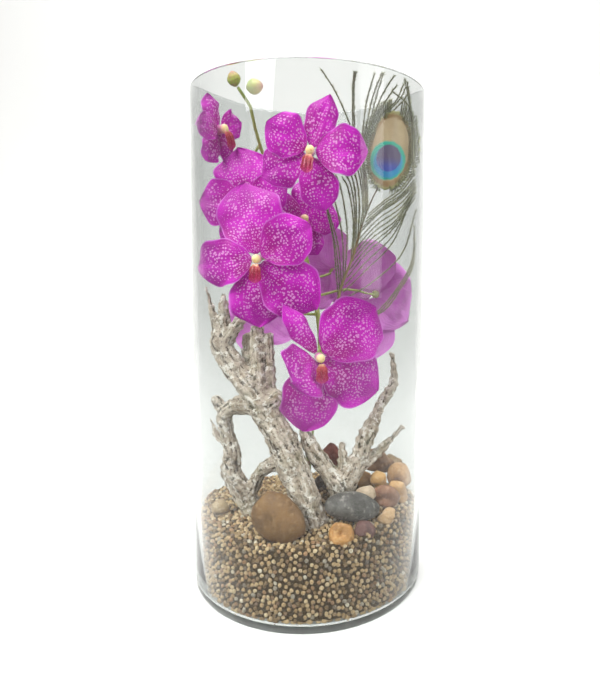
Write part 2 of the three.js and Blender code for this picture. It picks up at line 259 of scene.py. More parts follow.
def sodaLimeGlass():
    # drawn soda-lime glass: clear, mirror smooth, a trace of green that gathers along the rim and foot
    values = {"Base Color": "#d9dbda", "Roughness": 0.0, "IOR": 1.5, "Transmission Weight": 1.0,
              "Specular Tint": "#a0a0a0"}
    material, tree, shader = newMaterial("sodaLimeGlass", values)
    clear = addNode(tree, "ShaderNodeBsdfTransparent", {"Color": "#f6f9f8"})
    path = addNode(tree, "ShaderNodeLightPath")
    both = addNode(tree, "ShaderNodeMixShader",
        {0: path.outputs["Is Shadow Ray"], 1: shader.outputs[0], 2: clear.outputs[0]})
    tree.links.new(both.outputs[0], tree.nodes["Material Output"].inputs["Surface"])
    depth = addNode(tree, "ShaderNodeVolumeAbsorption", {"Color": "#e4e8e6", "Density": 14.0})
    tree.links.new(depth.outputs[0], tree.nodes["Material Output"].inputs["Volume"])
    return material


def groundFoot():
    # the underside of the base, ground flat on a wheel: pale and frosted, it lights the foot from below
    material, tree, shader = newMaterial("groundFoot", {"Roughness": 0.7, "Specular IOR Level": 0.3})
    grind = noiseOf(tree, objectPlace(tree), 900.0)
    tree.links.new(mixColours(tree, grind, "#d4d5d3", "#ecedeb"), shader.inputs["Base Color"])
    return material


def makeVase(values):
    radius, height = boxHalf("glass_vase")[0] / mm, boxHalf("glass_vase")[2] * 2 / mm
    inner, top, foot = radius - values["wall"], values["rimRound"], values["footRound"]

    def arc(x, z, r, start, end, steps=5):
        turns = np.radians(np.linspace(start, end, steps))
        return [(x + r * math.cos(t), z + r * math.sin(t)) for t in turns]

    profile = [(0, 0), *arc(radius - foot, foot, foot, -90, 0, 9)]
    profile += [(radius, height * k / 6) for k in range(1, 6)]
    profile += arc(radius - top, height - top, top, 0, 90) + arc(inner + top, height - top, top, 90, 180)
    profile += [(inner, height * k / 6) for k in range(5, 0, -1)]
    profile += arc(inner - 4, values["base"] + 4, 4, 0, -90) + [(0, values["base"])]
    count = values["segments"]
    turns = np.arange(count) * 2 * math.pi / count
    points, rings = [], []
    for x, z in profile:
        if x == 0:
            rings.append([len(points)] * count)
            points.append((0, 0, z * mm))
        else:
            rings.append(list(range(len(points), len(points) + count)))
            points += [(x * mm * math.cos(t), x * mm * math.sin(t), z * mm) for t in turns]
    faces = []
    for low, high in zip(rings, rings[1:]):
        for i in range(count):
            j = (i + 1) % count
            corners = [low[i], low[j], high[j], high[i]]
            faces.append(list(dict.fromkeys(corners)))
    piece = meshObject("glassVase", points, faces, sodaLimeGlass())
    piece.data.materials.append(groundFoot())
    for face in list(piece.data.polygons)[:count]:  # the first ring of faces is the underside
        face.material_index = 1
    settle(piece, "glass_vase")


makeVase(vase)
print("vase made")


tepalGrid = {"along": 36, "across": 24, "thickness": 0.7, "longer": 1.03, "wider": 1.1}
plainTepals = {
    "dorsal_sepal": {"angle": 0, "length": 42, "width": 30, "lean": -4, "curl": -10, "cup": -0.1},
    "petal_right": {"angle": 78, "length": 42, "width": 34, "lean": 6, "curl": -6, "cup": 0.1},
    "lateral_sepal_right": {"angle": 142, "length": 42, "width": 34, "lean": -4, "curl": -10,
        "cup": -0.1},
    "lateral_sepal_left": {"angle": 218, "length": 42, "width": 34, "lean": -4, "curl": -10, "cup": -0.1},
    "petal_left": {"angle": 282, "length": 42, "width": 34, "lean": 6, "curl": -6, "cup": 0.1},
}
lipShape = {"angle": 180, "length": 14, "width": 11, "lean": 20, "curl": -30, "cup": 0.3, "start": 3.2,
    "layer": 7.5, "claw": 2}
blooms = {
    "bloom_top_left": {"azimuth": 62, "pitch": 5, "roll": -10, "size": 0.56, "whole": True, "tepals": {}},
    "bloom_top": {
        "azimuth": 0, "pitch": 5, "roll": 8, "size": 0.86,
        "tepals": {
            "dorsal_sepal": {"length": 46, "width": 26, "angle": 10},
            "petal_right": {"angle": 82, "length": 44, "width": 38},
            "petal_left": {"angle": 292, "length": 38, "width": 34, "lean": 14},
            "lateral_sepal_right": {"angle": 158, "length": 46, "width": 32},
            "lateral_sepal_left": {"angle": 238, "length": 42, "width": 34},
        },
    },
    "bloom_front_left": {
        "azimuth": 0, "pitch": 0, "roll": 0,
        "tepals": {
            "dorsal_sepal": {"angle": -11, "length": 56, "width": 46, "lean": -8},
            "petal_right": {"angle": 58, "length": 43, "width": 36, "lean": 8},
            "lateral_sepal_right": {"angle": 132, "length": 54, "width": 42, "cup": 0},
            "lateral_sepal_left": {"angle": 181, "length": 48, "width": 40, "cup": 0, "layer": -3.4},
            "petal_left": {"angle": 264, "length": 43, "width": 34, "lean": -8, "curl": -14},
        },
    },
    "bloom_front_right": {
        "azimuth": 14, "pitch": 0, "roll": 0,
        "tepals": {
            "dorsal_sepal": {"angle": -34, "length": 44, "width": 16, "lean": 2, "twist": -40},
            "petal_right": {"angle": 50, "length": 52, "width": 48, "lean": 4},
            "lateral_sepal_right": {"angle": 122, "length": 52, "width": 44, "cup": 0},
            "lateral_sepal_left": {"angle": 190, "length": 56, "width": 42, "cup": 0, "layer": -3.4},
            "petal_left": {"angle": 236, "length": 26, "width": 42, "lean": 24, "curl": 6},
        },
    },
    "bloom_upper_left": {
        "azimuth": -8, "pitch": 2, "roll": -4, "size": 0.85, "whole": True,
        "tepals": {
            "dorsal_sepal": {"angle": -8, "length": 52, "width": 52, "lean": 0, "curl": -4},
            "petal_right": {"angle": 66, "length": 40},
            "petal_left": {"angle": 282, "length": 44, "width": 40},
        },
    },
    "bloom_middle": {"azimuth": 25, "pitch": 0, "roll": 10, "size": 0.75, "whole": True, "tepals": {}},
    "bloom_back": {"azimuth": 175, "pitch": 0, "roll": 0, "size": 0.9, "whole": True, "tepals": {}},
    "bloom_right": {
        "azimuth": 158, "pitch": 4, "roll": 0, "size": 1, "whole": True,
        "tepals": {
            "dorsal_sepal": {"angle": 8, "length": 44, "width": 44},
            "petal_right": {"angle": 66, "length": 42, "width": 42},
            "petal_left": {"angle": 292, "length": 30, "width": 38},
            "lateral_sepal_left": {"angle": 236, "length": 34, "width": 38},
            "lateral_sepal_right": {"angle": 176, "length": 54, "width": 38},
        },
    },
    "bloom_low_left": {"azimuth": 200, "pitch": -10, "roll": 12, "size": 0.8, "whole": True,
        "tepals": {}},
}


def orchidTepal():
    # fresh vanda tepal: soft waxy skin with a tessellated net, pale islands about 2 mm wide in rows along
    # the veins
    values = {"Roughness": 0.42, "Specular IOR Level": 0.35, "Sheen Weight": 0.15}
    material, tree, shader = newMaterial("orchidTepal", values)
    cells = addNode(tree, "ShaderNodeUVMap", uv_map="cells").outputs[0]
    wobble = addNode(tree, "ShaderNodeTexNoise",
        {"Vector": cells, "Scale": 0.6, "Detail": 1.0}).outputs[1]
    moved = addNode(tree, "ShaderNodeVectorMath", {0: wobble, 1: (0.5, 0.5, 0.5)},
        operation="SUBTRACT").outputs[0]
    moved = addNode(tree, "ShaderNodeVectorMath", {0: moved, 3: 0.9}, operation="SCALE").outputs[0]
    moved = addNode(tree, "ShaderNodeVectorMath", {0: cells, 1: moved}, operation="ADD").outputs[0]
    islands = addNode(tree, "ShaderNodeTexVoronoi", {"Vector": moved, "Scale": 1.0, "Randomness": 0.75},
                      voronoi_dimensions="2D", feature="F1")
    size = noiseOf(tree, cells, 0.22, 2.0)
    reach = rangeOf(tree, size, 0.3, 0.7, 0.15, 0.42)
    along = attributeOf(tree, "along")
    side = attributeOf(tree, "side")
    back = attributeOf(tree, "back")
    inEdge = maths(tree, "MULTIPLY", rangeOf(tree, along, 0.74, 0.95, 1.0, 0.15),
        rangeOf(tree, side, 0.66, 0.95, 1.0, 0.15))
    reach = maths(tree, "MULTIPLY", reach, inEdge)
    low = maths(tree, "MULTIPLY", reach, 0.7)
    island = addNode(tree, "ShaderNodeMapRange",
        {0: islands.outputs["Distance"], 1: low, 2: reach, 3: 1.0, 4: 0.0}).outputs[0]
    ground = mixColours(tree, rangeOf(tree, along, 0.1, 0.9), "#b20092", "#b400a6")
    # brighter pink patches spread by a large noise: partly the tepal's own uneven tone, partly a painted
    # highlight standing in for the lit zones of the blooms
    ground = mixColours(tree, rangeOf(tree, noiseOf(tree, cells, 0.12, 2.0), 0.35, 0.7), ground,
        "#d81cca")
    front = mixColours(tree, maths(tree, "MULTIPLY", island, 0.8), ground, "#f2a4e6")
    front = mixColours(tree, rangeOf(tree, side, 0.93, 1.0, 0.0, 0.75), front, "#dd86e2")
    behind = mixColours(tree, noiseOf(tree, cells, 0.5, 2.0), "#de70dc", "#f0a8ec")
    colour = mixColours(tree, back, front, behind)
    tree.links.new(colour, shader.inputs["Base Color"])
    veins = addNode(tree, "ShaderNodeTexWave",
        {"Vector": cells, "Scale": 0.32, "Distortion": 1.2, "Detail": 1.0},
                    wave_type="BANDS", bands_direction="X").outputs[1]
    height = maths(tree, "ADD", maths(tree, "MULTIPLY", veins, 0.5), maths(tree, "MULTIPLY", island, 0.5))
    bumpInto(tree, shader, height, 0.5, 0.0005)
    through = addNode(tree, "ShaderNodeBsdfTranslucent", {"Color": colour})
    both = addNode(tree, "ShaderNodeMixShader", {0: 0.2, 1: shader.outputs[0], 2: through.outputs[0]})
    tree.links.new(both.outputs[0], tree.nodes["Material Output"].inputs["Surface"])
    return material


def orchidLip():
    # the lip's waxy tongue: deep magenta-red, darker in its throat, cream at its root
    values = {"Roughness": 0.3, "Specular IOR Level": 0.5, "Subsurface Weight": 0.1,
        "Subsurface Radius": (0.004, 0.001, 0.001)}
    material, tree, shader = newMaterial("orchidLip", values)
    along = attributeOf(tree, "along")
    base = rampOf(tree, along,
        [(0.0, "#e8b48a"), (0.16, "#b03a3c"), (0.4, "#8e0a2e"), (0.75, "#a30f4e"), (1.0, "#c22a86")])
    spots = addNode(tree, "ShaderNodeTexVoronoi", {"Vector": objectPlace(tree), "Scale": 900.0})
    mask = rangeOf(tree, spots.outputs["Distance"], 0.2, 0.45, 0.45, 0.0)
    colour = mixColours(tree, mask, base, "#e06a8c")
    tree.links.new(colour, shader.inputs["Base Color"])
    bumpInto(tree, shader, noiseOf(tree, objectPlace(tree), 700.0), 0.3, 0.0004)
    return material


def orchidColumn():
    # the column and its anther cap: waxy cream, yellow at the tip, flushed pink where it meets the tepals
    values = {"Roughness": 0.35, "Subsurface Weight": 0.2, "Subsurface Radius": (0.004, 0.003, 0.001)}
    material, tree, shader = newMaterial("orchidColumn", values)
    along = attributeOf(tree, "along")
    base = rampOf(tree, along,
        [(0.0, "#8f9a4c"), (0.3, "#b8649c"), (0.55, "#dc90b4"), (0.78, "#efc8a8"), (1.0, "#f2dc9e")])
    tint = noiseOf(tree, objectPlace(tree), 400.0)
    colour = mixColours(tree, rangeOf(tree, tint, 0.55, 0.8), base, "#d98f5a")
    tree.links.new(colour, shader.inputs["Base Color"])
    return material


bloomFinish = {"tepal": orchidTepal(), "lip": orchidLip(), "column": orchidColumn()}


def turning(azimuth, pitch, roll):
    a, e, r = math.radians(azimuth), math.radians(pitch), math.radians(roll)
    face = Vector((math.sin(a) * math.cos(e), -math.cos(a) * math.cos(e), math.sin(e)))
    up = (Vector((0, 0, 1)) - face * face.z).normalized()
    up.rotate(Matrix.Rotation(-r, 3, face))
    return np.array(Matrix((up.cross(face), up, face)).transposed())


def tepalWidth(u, t):
    swell = np.clip(np.sin(np.pi * u**1.02 * 0.93), 0, 1) ** 0.58
    return np.maximum(t.get("claw", 1.5), t["width"] / 2 * swell)


def tepalPoints(t, u, v, s):
    # u runs along the midrib, v from edge to edge and s through the thickness in millimetres
    lean, curl = math.radians(t.get("lean", 0)), math.radians(t.get("curl", 0)) or 1e-6
    bend = lean + curl * u
    out = t.get("start", 4) + t["length"] * (np.sin(bend) - math.sin(lean)) / curl
    rise = t.get("layer", 0) + t["length"] * (math.cos(lean) - np.cos(bend)) / curl
    half = tepalWidth(u, t) * t.get("round", 1.0)
    turn = np.radians(t.get("twist", 0) * u)
    sideways = v * half
    lift = t.get("cup", 0) * v * v * half + s
    flat = sideways * np.cos(turn) - lift * np.sin(turn)
    raised = sideways * np.sin(turn) + lift * np.cos(turn)
    far = out - np.sin(bend) * raised
    dx, dy = math.sin(math.radians(t["angle"])), math.cos(math.radians(t["angle"]))
    return np.stack([far * dx + flat * dy, far * dy - flat * dx, rise + np.cos(bend) * raised], -1)


def tepalsOf(bloom):
    size = bloom.get("size", 1.0)
    made = {}
    for name, plain in plainTepals.items():
        t = {"layer": -1.5 if "sepal" in name else 0.0, **plain, **bloom["tepals"].get(name, {})}
        t["length"] *= size * tepalGrid["longer"]
        t["width"] *= size * tepalGrid["wider"]
        made[name] = t
    return made


def bloomPlace(name, bloom):
    # where the bloom's axis starts, from the box of its node, in metres
    turned = turning(bloom["azimuth"], bloom["pitch"], bloom["roll"])
    ring = np.array([(3.6 * math.cos(a), 3.6 * math.sin(a)) for a in np.arange(8) * math.pi / 4])
    column = np.vstack([np.c_[ring, np.full(8, z)] for z in (-2.5, 2.0)] + [[[0, 0, 8.0]],
        np.c_[ring * 0.7, np.full(8, -4.0)]])
    parts, node = [column], name + "_column"
    if bloom.get("whole"):
        node = name
        u, v, s = np.meshgrid(np.linspace(0, 1, 5), [-1, 0, 1], [-0.6, 0.6], indexing="ij")
        shapes = [{**t, "start": 2.5} for t in tepalsOf(bloom).values()] + [{**lipShape, "start": 1.5,
            "layer": 6}]
        parts += [tepalPoints(t, u, v, s).reshape(-1, 3) for t in shapes]
    points = np.vstack(parts) @ turned.T
    return turned, boxMiddle(node) - (points.min(0) + points.max(0)) / 2 * mm


def tepalMesh(name, t, turned, at, seed):
    draw = np.random.default_rng(seed)
    along, across = tepalGrid["along"], tepalGrid["across"]
    u = np.sin(np.linspace(0, 1, along) * math.pi / 2) ** 0.9
    v = np.sin(np.linspace(-1, 1, across) * math.pi / 2)
    u, v = np.meshgrid(u, v, indexing="ij")
    tip = np.sqrt(np.clip(1 - (np.clip((u - 0.72) / 0.28, 0, 1)) ** 2, 0.0004, 1))
    scallop = 1 + 0.035 * np.sin(u * 17 + draw.uniform(0,
        6.28) + v * 2) + 0.03 * np.sin(u * 7 + v * 3 + draw.uniform(0, 6.28))
    shape = {**t, "round": tip * scallop}
    phase, ripples = draw.uniform(0, 6.28), draw.uniform(2.0, 3.2)
    sway = np.sin(u * math.pi * ripples + phase + v * 1.2) * np.abs(v) ** 1.6 * 3.0 * (t["width"] / 40)
    sway += np.sin(u * math.pi * 5.3 + phase * 2) * np.abs(v) ** 3 * 0.8
    groove = -1.3 * np.exp(-((v / 0.1) ** 2)) * np.sin(np.clip(u, 0, 1) * math.pi)
    quilt = 0.35 * np.sin(v * 9 + phase) * np.sin(u * 13 + phase)
    bulge = 2.2 * (1 - v * v) * np.sin(u * math.pi)
    lift = (sway + groove + quilt + bulge) * np.sin(np.clip(u * 1.4, 0, 1) * math.pi / 2)
    half = tepalGrid["thickness"] / 2
    edge = np.clip(1 - np.abs(v) ** 6, 0.25, 1)
    front = tepalPoints(shape, u, v, lift + half * edge).reshape(-1, 3)
    rear = tepalPoints(shape, u, v, lift - half * edge).reshape(-1, 3)
    points = np.vstack([front, rear]) @ turned.T * mm + at
    count = along * across
    piece = meshObject(name, points, sheetFaces(along, across), bloomFinish["tepal"])
    wide = t["width"] / 2 / 2.5
    uv = np.stack([(v * wide).ravel(), (u * t["length"] / 2.5).ravel()], -1)
    uv = np.vstack([uv, uv]) + draw.uniform(5, 60, 2)
    layer = piece.data.uv_layers.new(name="cells")
    corners = np.empty(len(piece.data.loops), np.int32)
    piece.data.loops.foreach_get("vertex_index", corners)
    layer.data.foreach_set("uv", uv[corners].astype(np.float32).ravel())
    keepValues(piece, "along", np.tile(u.ravel(), 2))
    keepValues(piece, "side", np.tile(np.abs(v).ravel(), 2))
    keepValues(piece, "back", np.r_[np.zeros(count), np.ones(count)])
    return piece


def roundMesh(name, profile, place, material, count=24):
    # a turned body from (radius, height) pairs along +Z, then moved by place(points)
    points, values = [], []
    low, high = profile[0][1], profile[-1][1]
    for r, z in profile:
        for k in range(count):
            a = 2 * math.pi * k / count
            points.append((max(r, 0.01) * math.cos(a), max(r, 0.01) * math.sin(a), z))
            values.append((z - low) / (high - low))
    piece = meshObject(name, place(np.array(points)), ringFaces(len(profile), count), material)
    keepValues(piece, "along", values)
    return piece


def lipMesh(name, turned, at, start, layer):
    # a keeled tongue with two ridges and a notched tip
    t = {**lipShape, "start": start, "layer": layer}
    along, across = 22, 15
    u, v = np.meshgrid(np.linspace(0, 1, along), np.linspace(-1, 1, across), indexing="ij")
    tip = np.sqrt(np.clip(1 - np.clip((u - 0.75) / 0.25, 0, 1) ** 2, 0.01,
        1)) * (1 - 0.25 * np.sin(u * math.pi) ** 4)
    shape = {**t, "round": tip}
    ridges = 1.1 * (np.exp(-(((v - 0.35) / 0.18) ** 2)) + np.exp(-(((v + 0.35) / 0.18) ** 2))) * np.sin(u
        * math.pi)
    front = tepalPoints(shape, u, v, 0.9 + ridges).reshape(-1, 3)
    rear = tepalPoints(shape, u, v, ridges * 0 - 0.9 + 0.5 * v * v).reshape(-1, 3)
    points = np.vstack([front, rear]) @ turned.T * mm + at
    piece = meshObject(name, points, sheetFaces(along, across), bloomFinish["lip"])
    keepValues(piece, "along", np.tile(u.ravel(), 2))
    return piece


columnProfile = [(0.2, -4), (2.6, -3.9), (3.4, -2.8), (3.5, -0.5), (3.2, 1.2), (2.9, 2.6), (3.3, 4.2),
    (3.4, 5.4),
                 (2.9, 6.8), (1.8, 7.7), (0.2, 8)]


def makeBlooms():
    for number, (name, bloom) in enumerate(blooms.items()):
        turned, at = bloomPlace(name, bloom)
        whole = bloom.get("whole", False)
        for k, (part, t) in enumerate(tepalsOf(bloom).items()):
            shape = {**t, "start": 2.5} if whole else t
            piece = tepalMesh(f"{name}_{part}_skin", shape, turned, at, 100 + number * 10 + k)
            settle(piece, name if whole else f"{name}_{part}")

        def place(points, turned=turned, at=at):
            return points @ turned.T * mm + at

        column = roundMesh(f"{name}_column_skin", columnProfile, place, bloomFinish["column"])
        settle(column, name if whole else name + "_column")
        lip = lipMesh(f"{name}_lip_skin", turned, at, 1.5 if whole else 4.2, 6.0 if whole else 7.5)
        settle(lip, name if whole else name + "_lip")


makeBlooms()
print("blooms made")


def smoothPath(points, steps):
    # a Catmull-Rom curve through the points, sampled evenly enough for a tube
    p = np.array([2 * np.array(points[0]) - points[1], *points, 2 * np.array(points[-1]) - points[-2]],
        float)
    spans = len(points) - 1
    path = []
    for k in range(steps + 1):
        t = min(k / steps * spans, spans - 1e-9)
        i, f = int(t), t - int(t)
        a, b, c, d = p[i : i + 4]
        path.append(0.5
            * (2 * b + (c - a) * f + (2 * a - 5 * b + 4 * c - d) * f * f + (3 * b - a - 3 * c + d)
            * f**3))
    return np.array(path)


def tube(points, radii, sides=12, steps=None, uneven=0.0, seed=0):
    # points, faces and, for each point, its place (across, across, along) in the limb, in millimetres
    steps = steps or (len(points) - 1) * 8
    path = smoothPath(points, steps)
    radius = np.interp(np.linspace(0, 1, steps + 1), np.linspace(0, 1, len(radii)), radii)
    way = np.gradient(path, axis=0)
    way /= np.linalg.norm(way, axis=1)[:, None]
    side = np.cross(way[0], (0.3, 0.9, 0.1))
    rings, inner, length = [], [], 0.0
    draw = np.random.default_rng(seed)
    lobes = [(draw.integers(2, 5), draw.uniform(0, 6.28), draw.uniform(0.5, 1)) for _ in range(3)]
    for k in range(steps + 1):
        side = side - way[k] * (side @ way[k])
        side /= np.linalg.norm(side)
        other = np.cross(way[k], side)
        if k:
            length += np.linalg.norm(path[k] - path[k - 1])
        a = np.arange(sides) * 2 * math.pi / sides
        r = radius[k] * (1 + uneven * sum(w * np.cos(n * a + f + length * 0.03 * n) for n, f, w in lobes))
        rings.append(path[k] + np.outer(np.cos(a) * r, side) + np.outer(np.sin(a) * r, other))
        inner.append(np.c_[np.cos(a) * r, np.sin(a) * r, np.full(sides, length)])
    return np.vstack(rings), ringFaces(steps + 1, sides), np.vstack(inner)


def joinedTubes(limbs, **settings):
    points, faces, places, base = [], [], [], 0
    for number, (path, radii) in enumerate(limbs):
        p, f, q = tube(path, radii, seed=number, **settings)
        faces += [[i + base for i in face] for face in f]
        points.append(p)
        places.append(q + (0, 0, number * 400))
        base += len(p)
    return np.vstack(points), faces, np.vstack(places)


driftwood = {"voxel": 1.15, "ridge": 0.7, "lump": 1.7, "pit": 1.1}
trunkLimbs = [
    ([(14, -57, 46), (2, -50, 80), (-12, -43, 109), (-23, -38, 131), (-33, -33, 150)],
        (8, 11, 12, 11, 12)),
    ([(-33, -33, 150), (-47, -29, 166), (-60, -24, 182), (-71, -18, 198), (-70, -16, 214)],
        (11, 10, 9, 9, 5)),
    ([(-72, -18, 200), (-76, -17, 218), (-84, -14, 244)], (5, 3, 1.4)),
    ([(-68, -17, 204), (-68, -17, 226), (-69, -16, 238)], (6, 4, 1.4)),
    ([(-66, -20, 198), (-58, -24, 210), (-52, -27, 218)], (6, 5, 4.5)),
    ([(-36, -32, 152), (-38, -27, 176), (-39, -24, 198), (-41, -22, 212)], (9, 7, 6, 5)),
    ([(-30, -30, 156), (-30, -26, 182), (-31, -24, 206)], (6, 4, 3.5)),
    ([(-40, -26, 158), (-48, -14, 180), (-49, -8, 204)], (8, 6, 5)),
    ([(-33, -33, 150), (-24, -36, 154), (-18, -36, 160)], (10, 8, 7)),
    ([(-38, -26, 50), (-50, -24, 73), (-61, -22, 91), (-62, -20, 107), (-66, -18, 124), (-68, -18, 138),
      (-58, -22, 147), (-36, -32, 150)], (9, 9, 8, 8, 5, 6, 7, 9)),
    ([(-66, -18, 138), (-74, -15, 146), (-76, -14, 152)], (5, 4, 3)),
    ([(-62, -20, 112), (-74, -16, 120), (-82, -12, 134)], (4, 3, 1.2)),
    ([(-12, -42, 108), (-34, -32, 98), (-44, -26, 78)], (6, 5, 5)),
]
forkLimbs = [
    ([(31, -36, 44), (30, -36, 70), (28, -36, 86)], (9, 9, 9)),
    ([(28, -36, 84), (17, -34, 98), (2, -29, 119), (-3, -24, 134)], (9, 7, 6, 4)),
    ([(28, -35, 86), (29, -32, 102), (28, -28, 120)], (7, 4.5, 3)),
    ([(29, -36, 82), (41, -30, 104), (52, -22, 130), (63, -14, 150), (72, -8, 163)], (9, 7, 5.5, 4.5, 4)),
    ([(71, -8, 160), (72, -7, 174), (70, -6, 188)], (4, 2.4, 1.4)),
    ([(40, -30, 98), (58, -20, 108), (80, -10, 127)], (5, 3.4, 2.6)),
]


def whitewashedDriftwood():
    # sun-bleached root wood brushed with lime wash: chalky cream on the ridges; the grooves and pits are
    # painted dark brown and grey-green, partly the bare wood the wash missed and partly painted shade in
    # the hollows
    material, tree, shader = newMaterial("whitewashedDriftwood",
        {"Roughness": 0.88, "Specular IOR Level": 0.2})
    grain = attributeOf(tree, "grain", "Vector")
    groove = attributeOf(tree, "groove")
    place = objectPlace(tree)
    streaks = noiseOf(tree, grain, 0.45, 5.0, 0.65)
    fine = noiseOf(tree, grain, 1.6, 4.0, 0.7)
    patches = noiseOf(tree, place, 38.0, 3.0)
    wash = mixColours(tree, rangeOf(tree, streaks, 0.3, 0.7), "#8f7d6a", "#d4c8b9")
    wash = mixColours(tree, rangeOf(tree, patches, 0.5, 0.68, 0.0, 0.5), wash, "#948a6c")
    crust = rangeOf(tree, noiseOf(tree, place, 170.0, 6.0, 0.7), 0.5, 0.6, 0.0, 0.85)
    wash = mixColours(tree, crust, wash, "#f0e9de")
    # dark brown and grey-green for the grooves: partly bare wood, partly painted shade
    dark = mixColours(tree, rangeOf(tree, patches, 0.4, 0.6), "#44352a", "#4c4634")
    depth = maths(tree, "ADD", groove, maths(tree, "MULTIPLY", fine, 0.9))
    # where the grooves and the fine noise lie deep the wash gives way to the dark colour: painted shade
    # in the hollows as well as bare wood
    groove_wood_and_painted_shade = rangeOf(tree, depth, 0.66, 0.96, 0.0, 0.92)
    colour = mixColours(tree, groove_wood_and_painted_shade, wash, dark)
    speckle = addNode(tree, "ShaderNodeTexVoronoi", {"Vector": place, "Scale": 420.0})
    dots = rangeOf(tree, speckle.outputs["Distance"], 0.14, 0.32, 0.7, 0.0)
    colour = mixColours(tree, dots, colour, "#5c4a38")
    tree.links.new(colour, shader.inputs["Base Color"])
    height = maths(tree, "SUBTRACT", maths(tree, "MULTIPLY", fine, 0.45),
        maths(tree, "MULTIPLY", dots, 0.6))
    height = maths(tree, "ADD", height, maths(tree, "MULTIPLY", crust, 0.7))
    bumpInto(tree, shader, height, 0.7, 0.0009)
    return material


woodFinish = whitewashedDriftwood()


def makeWood(name, node, limbs, values):
    points, faces, places = joinedTubes(limbs, uneven=0.07, sides=16)
    rough = meshObject(name, points * mm, faces, woodFinish)
    remesh = rough.modifiers.new("remesh", "REMESH")
    remesh.mode = "VOXEL"
    remesh.voxel_size = values["voxel"] * mm
    smooth = rough.modifiers.new("smooth", "SMOOTH")
    smooth.iterations = 3
    piece = madePlain(rough)
    tree = KDTree(len(points))
    for i, p in enumerate(points):
        tree.insert(p * mm, i)
    tree.balance()
    skin = pointsOf(piece.data)
    grain = np.empty_like(skin)
    for i, p in enumerate(skin):
        near = tree.find_n(p, 4)
        weights = np.array([1 / (d + 1e-4) for _, _, d in near])
        best = near[0][1]
        same = [(w, n[1]) for w, n in zip(weights, near) if abs(places[n[1]][2] - places[best][2]) < 20]
        total = sum(w for w, _ in same)
        grain[i] = sum(w * places[k] for w, k in same) / total
    stretched = grain * (1, 1, 0.14)
    turns = np.arctan2(grain[:, 1], grain[:, 0]) * 3 + grain[:, 2] * 0.05
    ridge = 0.5 * np.sin(turns * 2 + waves(stretched * mm * 3, 9, 5) * 2.5) + waves(stretched * mm, 2.6,
        11)
    lumps = waves(skin, 17, 3)
    lift = values["ridge"] * ridge * 0.6 + values["lump"] * lumps + values["pit"] * waves(skin, 5.5, 8)
    piece.data.update()
    fitted = skin + normalsOf(piece.data) * lift[:, None] * mm
    low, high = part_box(node)
    placePoints(piece.data, np.clip(fitted, np.array(low) - 0.002, np.array(high) + 0.002))
    piece.data.polygons.foreach_set("use_smooth", [True] * len(piece.data.polygons))
    if not piece.data.materials:
        piece.data.materials.append(woodFinish)
    keepValues(piece, "grain", stretched, "FLOAT_VECTOR")
    # groove: how deep a point lies between the ridges and in the pits; it drives the painted shade of the
    # wood's hollows
    keepValues(piece, "groove", np.clip(-ridge * 0.45 - 0.35 * waves(skin, 5.5, 8) + 0.1, 0, 1))
    settle(piece, node)


makeWood("driftwoodTrunk", "driftwood_trunk", trunkLimbs, driftwood)
makeWood("driftwoodFork", "driftwood_fork", forkLimbs, driftwood)
print("driftwood made")

spike = {"voxel": 0.75}


def orchidStem():
    # living orchid stem: olive green with a waxy bloom, reddish brown where light has caught it
    values = {"Roughness": 0.4, "Subsurface Weight": 0.08, "Subsurface Radius": (0.002, 0.003, 0.001)}
    material, tree, shader = newMaterial("orchidStem", values)
    place = objectPlace(tree)
    blotch = rangeOf(tree, noiseOf(tree, place, 45.0), 0.48, 0.66)
    colour = mixColours(tree, blotch, "#9db457", "#939a4a")
    streak = addNode(tree, "ShaderNodeMapping", {"Vector": place, "Scale": (1.0, 1.0, 0.12)}).outputs[0]
    colour = mixColours(tree, rangeOf(tree, noiseOf(tree, streak, 900.0), 0.4, 0.7, 0.0, 0.5), colour,
        "#c3cc88")
    tree.links.new(colour, shader.inputs["Base Color"])
    bumpInto(tree, shader, noiseOf(tree, streak, 1200.0), 0.3, 0.0004)
    return material


def orchidBud():
    # closed bud: green at its stalk, yellow-green with brown-pink blushes and net spots towards the tip
    material, tree, shader = newMaterial("orchidBud", {"Roughness": 0.4, "Subsurface Weight": 0.1})
    along = attributeOf(tree, "along")
    base = rampOf(tree, along, [(0.0, "#7f9a44"), (0.45, "#9fae50"), (0.75, "#b8ae62"), (1.0, "#b5746a")])
    spots = addNode(tree, "ShaderNodeTexVoronoi", {"Vector": objectPlace(tree), "Scale": 620.0})
    colour = mixColours(tree, rangeOf(tree, spots.outputs["Distance"], 0.15, 0.5, 0.6, 0.0), base,
        "#8a4a58")
    tree.links.new(colour, shader.inputs["Base Color"])
    bumpInto(tree, shader, noiseOf(tree, objectPlace(tree), 500.0), 0.3, 0.0004)
    return material


def cadCopy(node, name, material):
    # a merged copy of a node's own mesh, as a base to remesh
    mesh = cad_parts[node].data.copy()
    mesh.name = name
    mesh.materials.clear()
    mesh.materials.append(material)
    piece = bpy.data.objects.new(name, mesh)
    scene.collection.objects.link(piece)
    weld = piece.modifiers.new("weld", "WELD")
    weld.merge_threshold = 0.00002
    return piece


def makeSpike(values):
    piece = cadCopy("spike_stem", "spikeStem", orchidStem())
    remesh = piece.modifiers.new("remesh", "REMESH")
    remesh.mode = "VOXEL"
    remesh.voxel_size = values["voxel"] * mm
    smooth = piece.modifiers.new("smooth", "SMOOTH")
    smooth.iterations = 4
    madePlain(piece)
    if not piece.data.materials:
        piece.data.materials.append(bpy.data.materials["orchidStem"])
    piece.data.polygons.foreach_set("use_smooth", [True] * len(piece.data.polygons))
    settle(piece, "spike_stem")


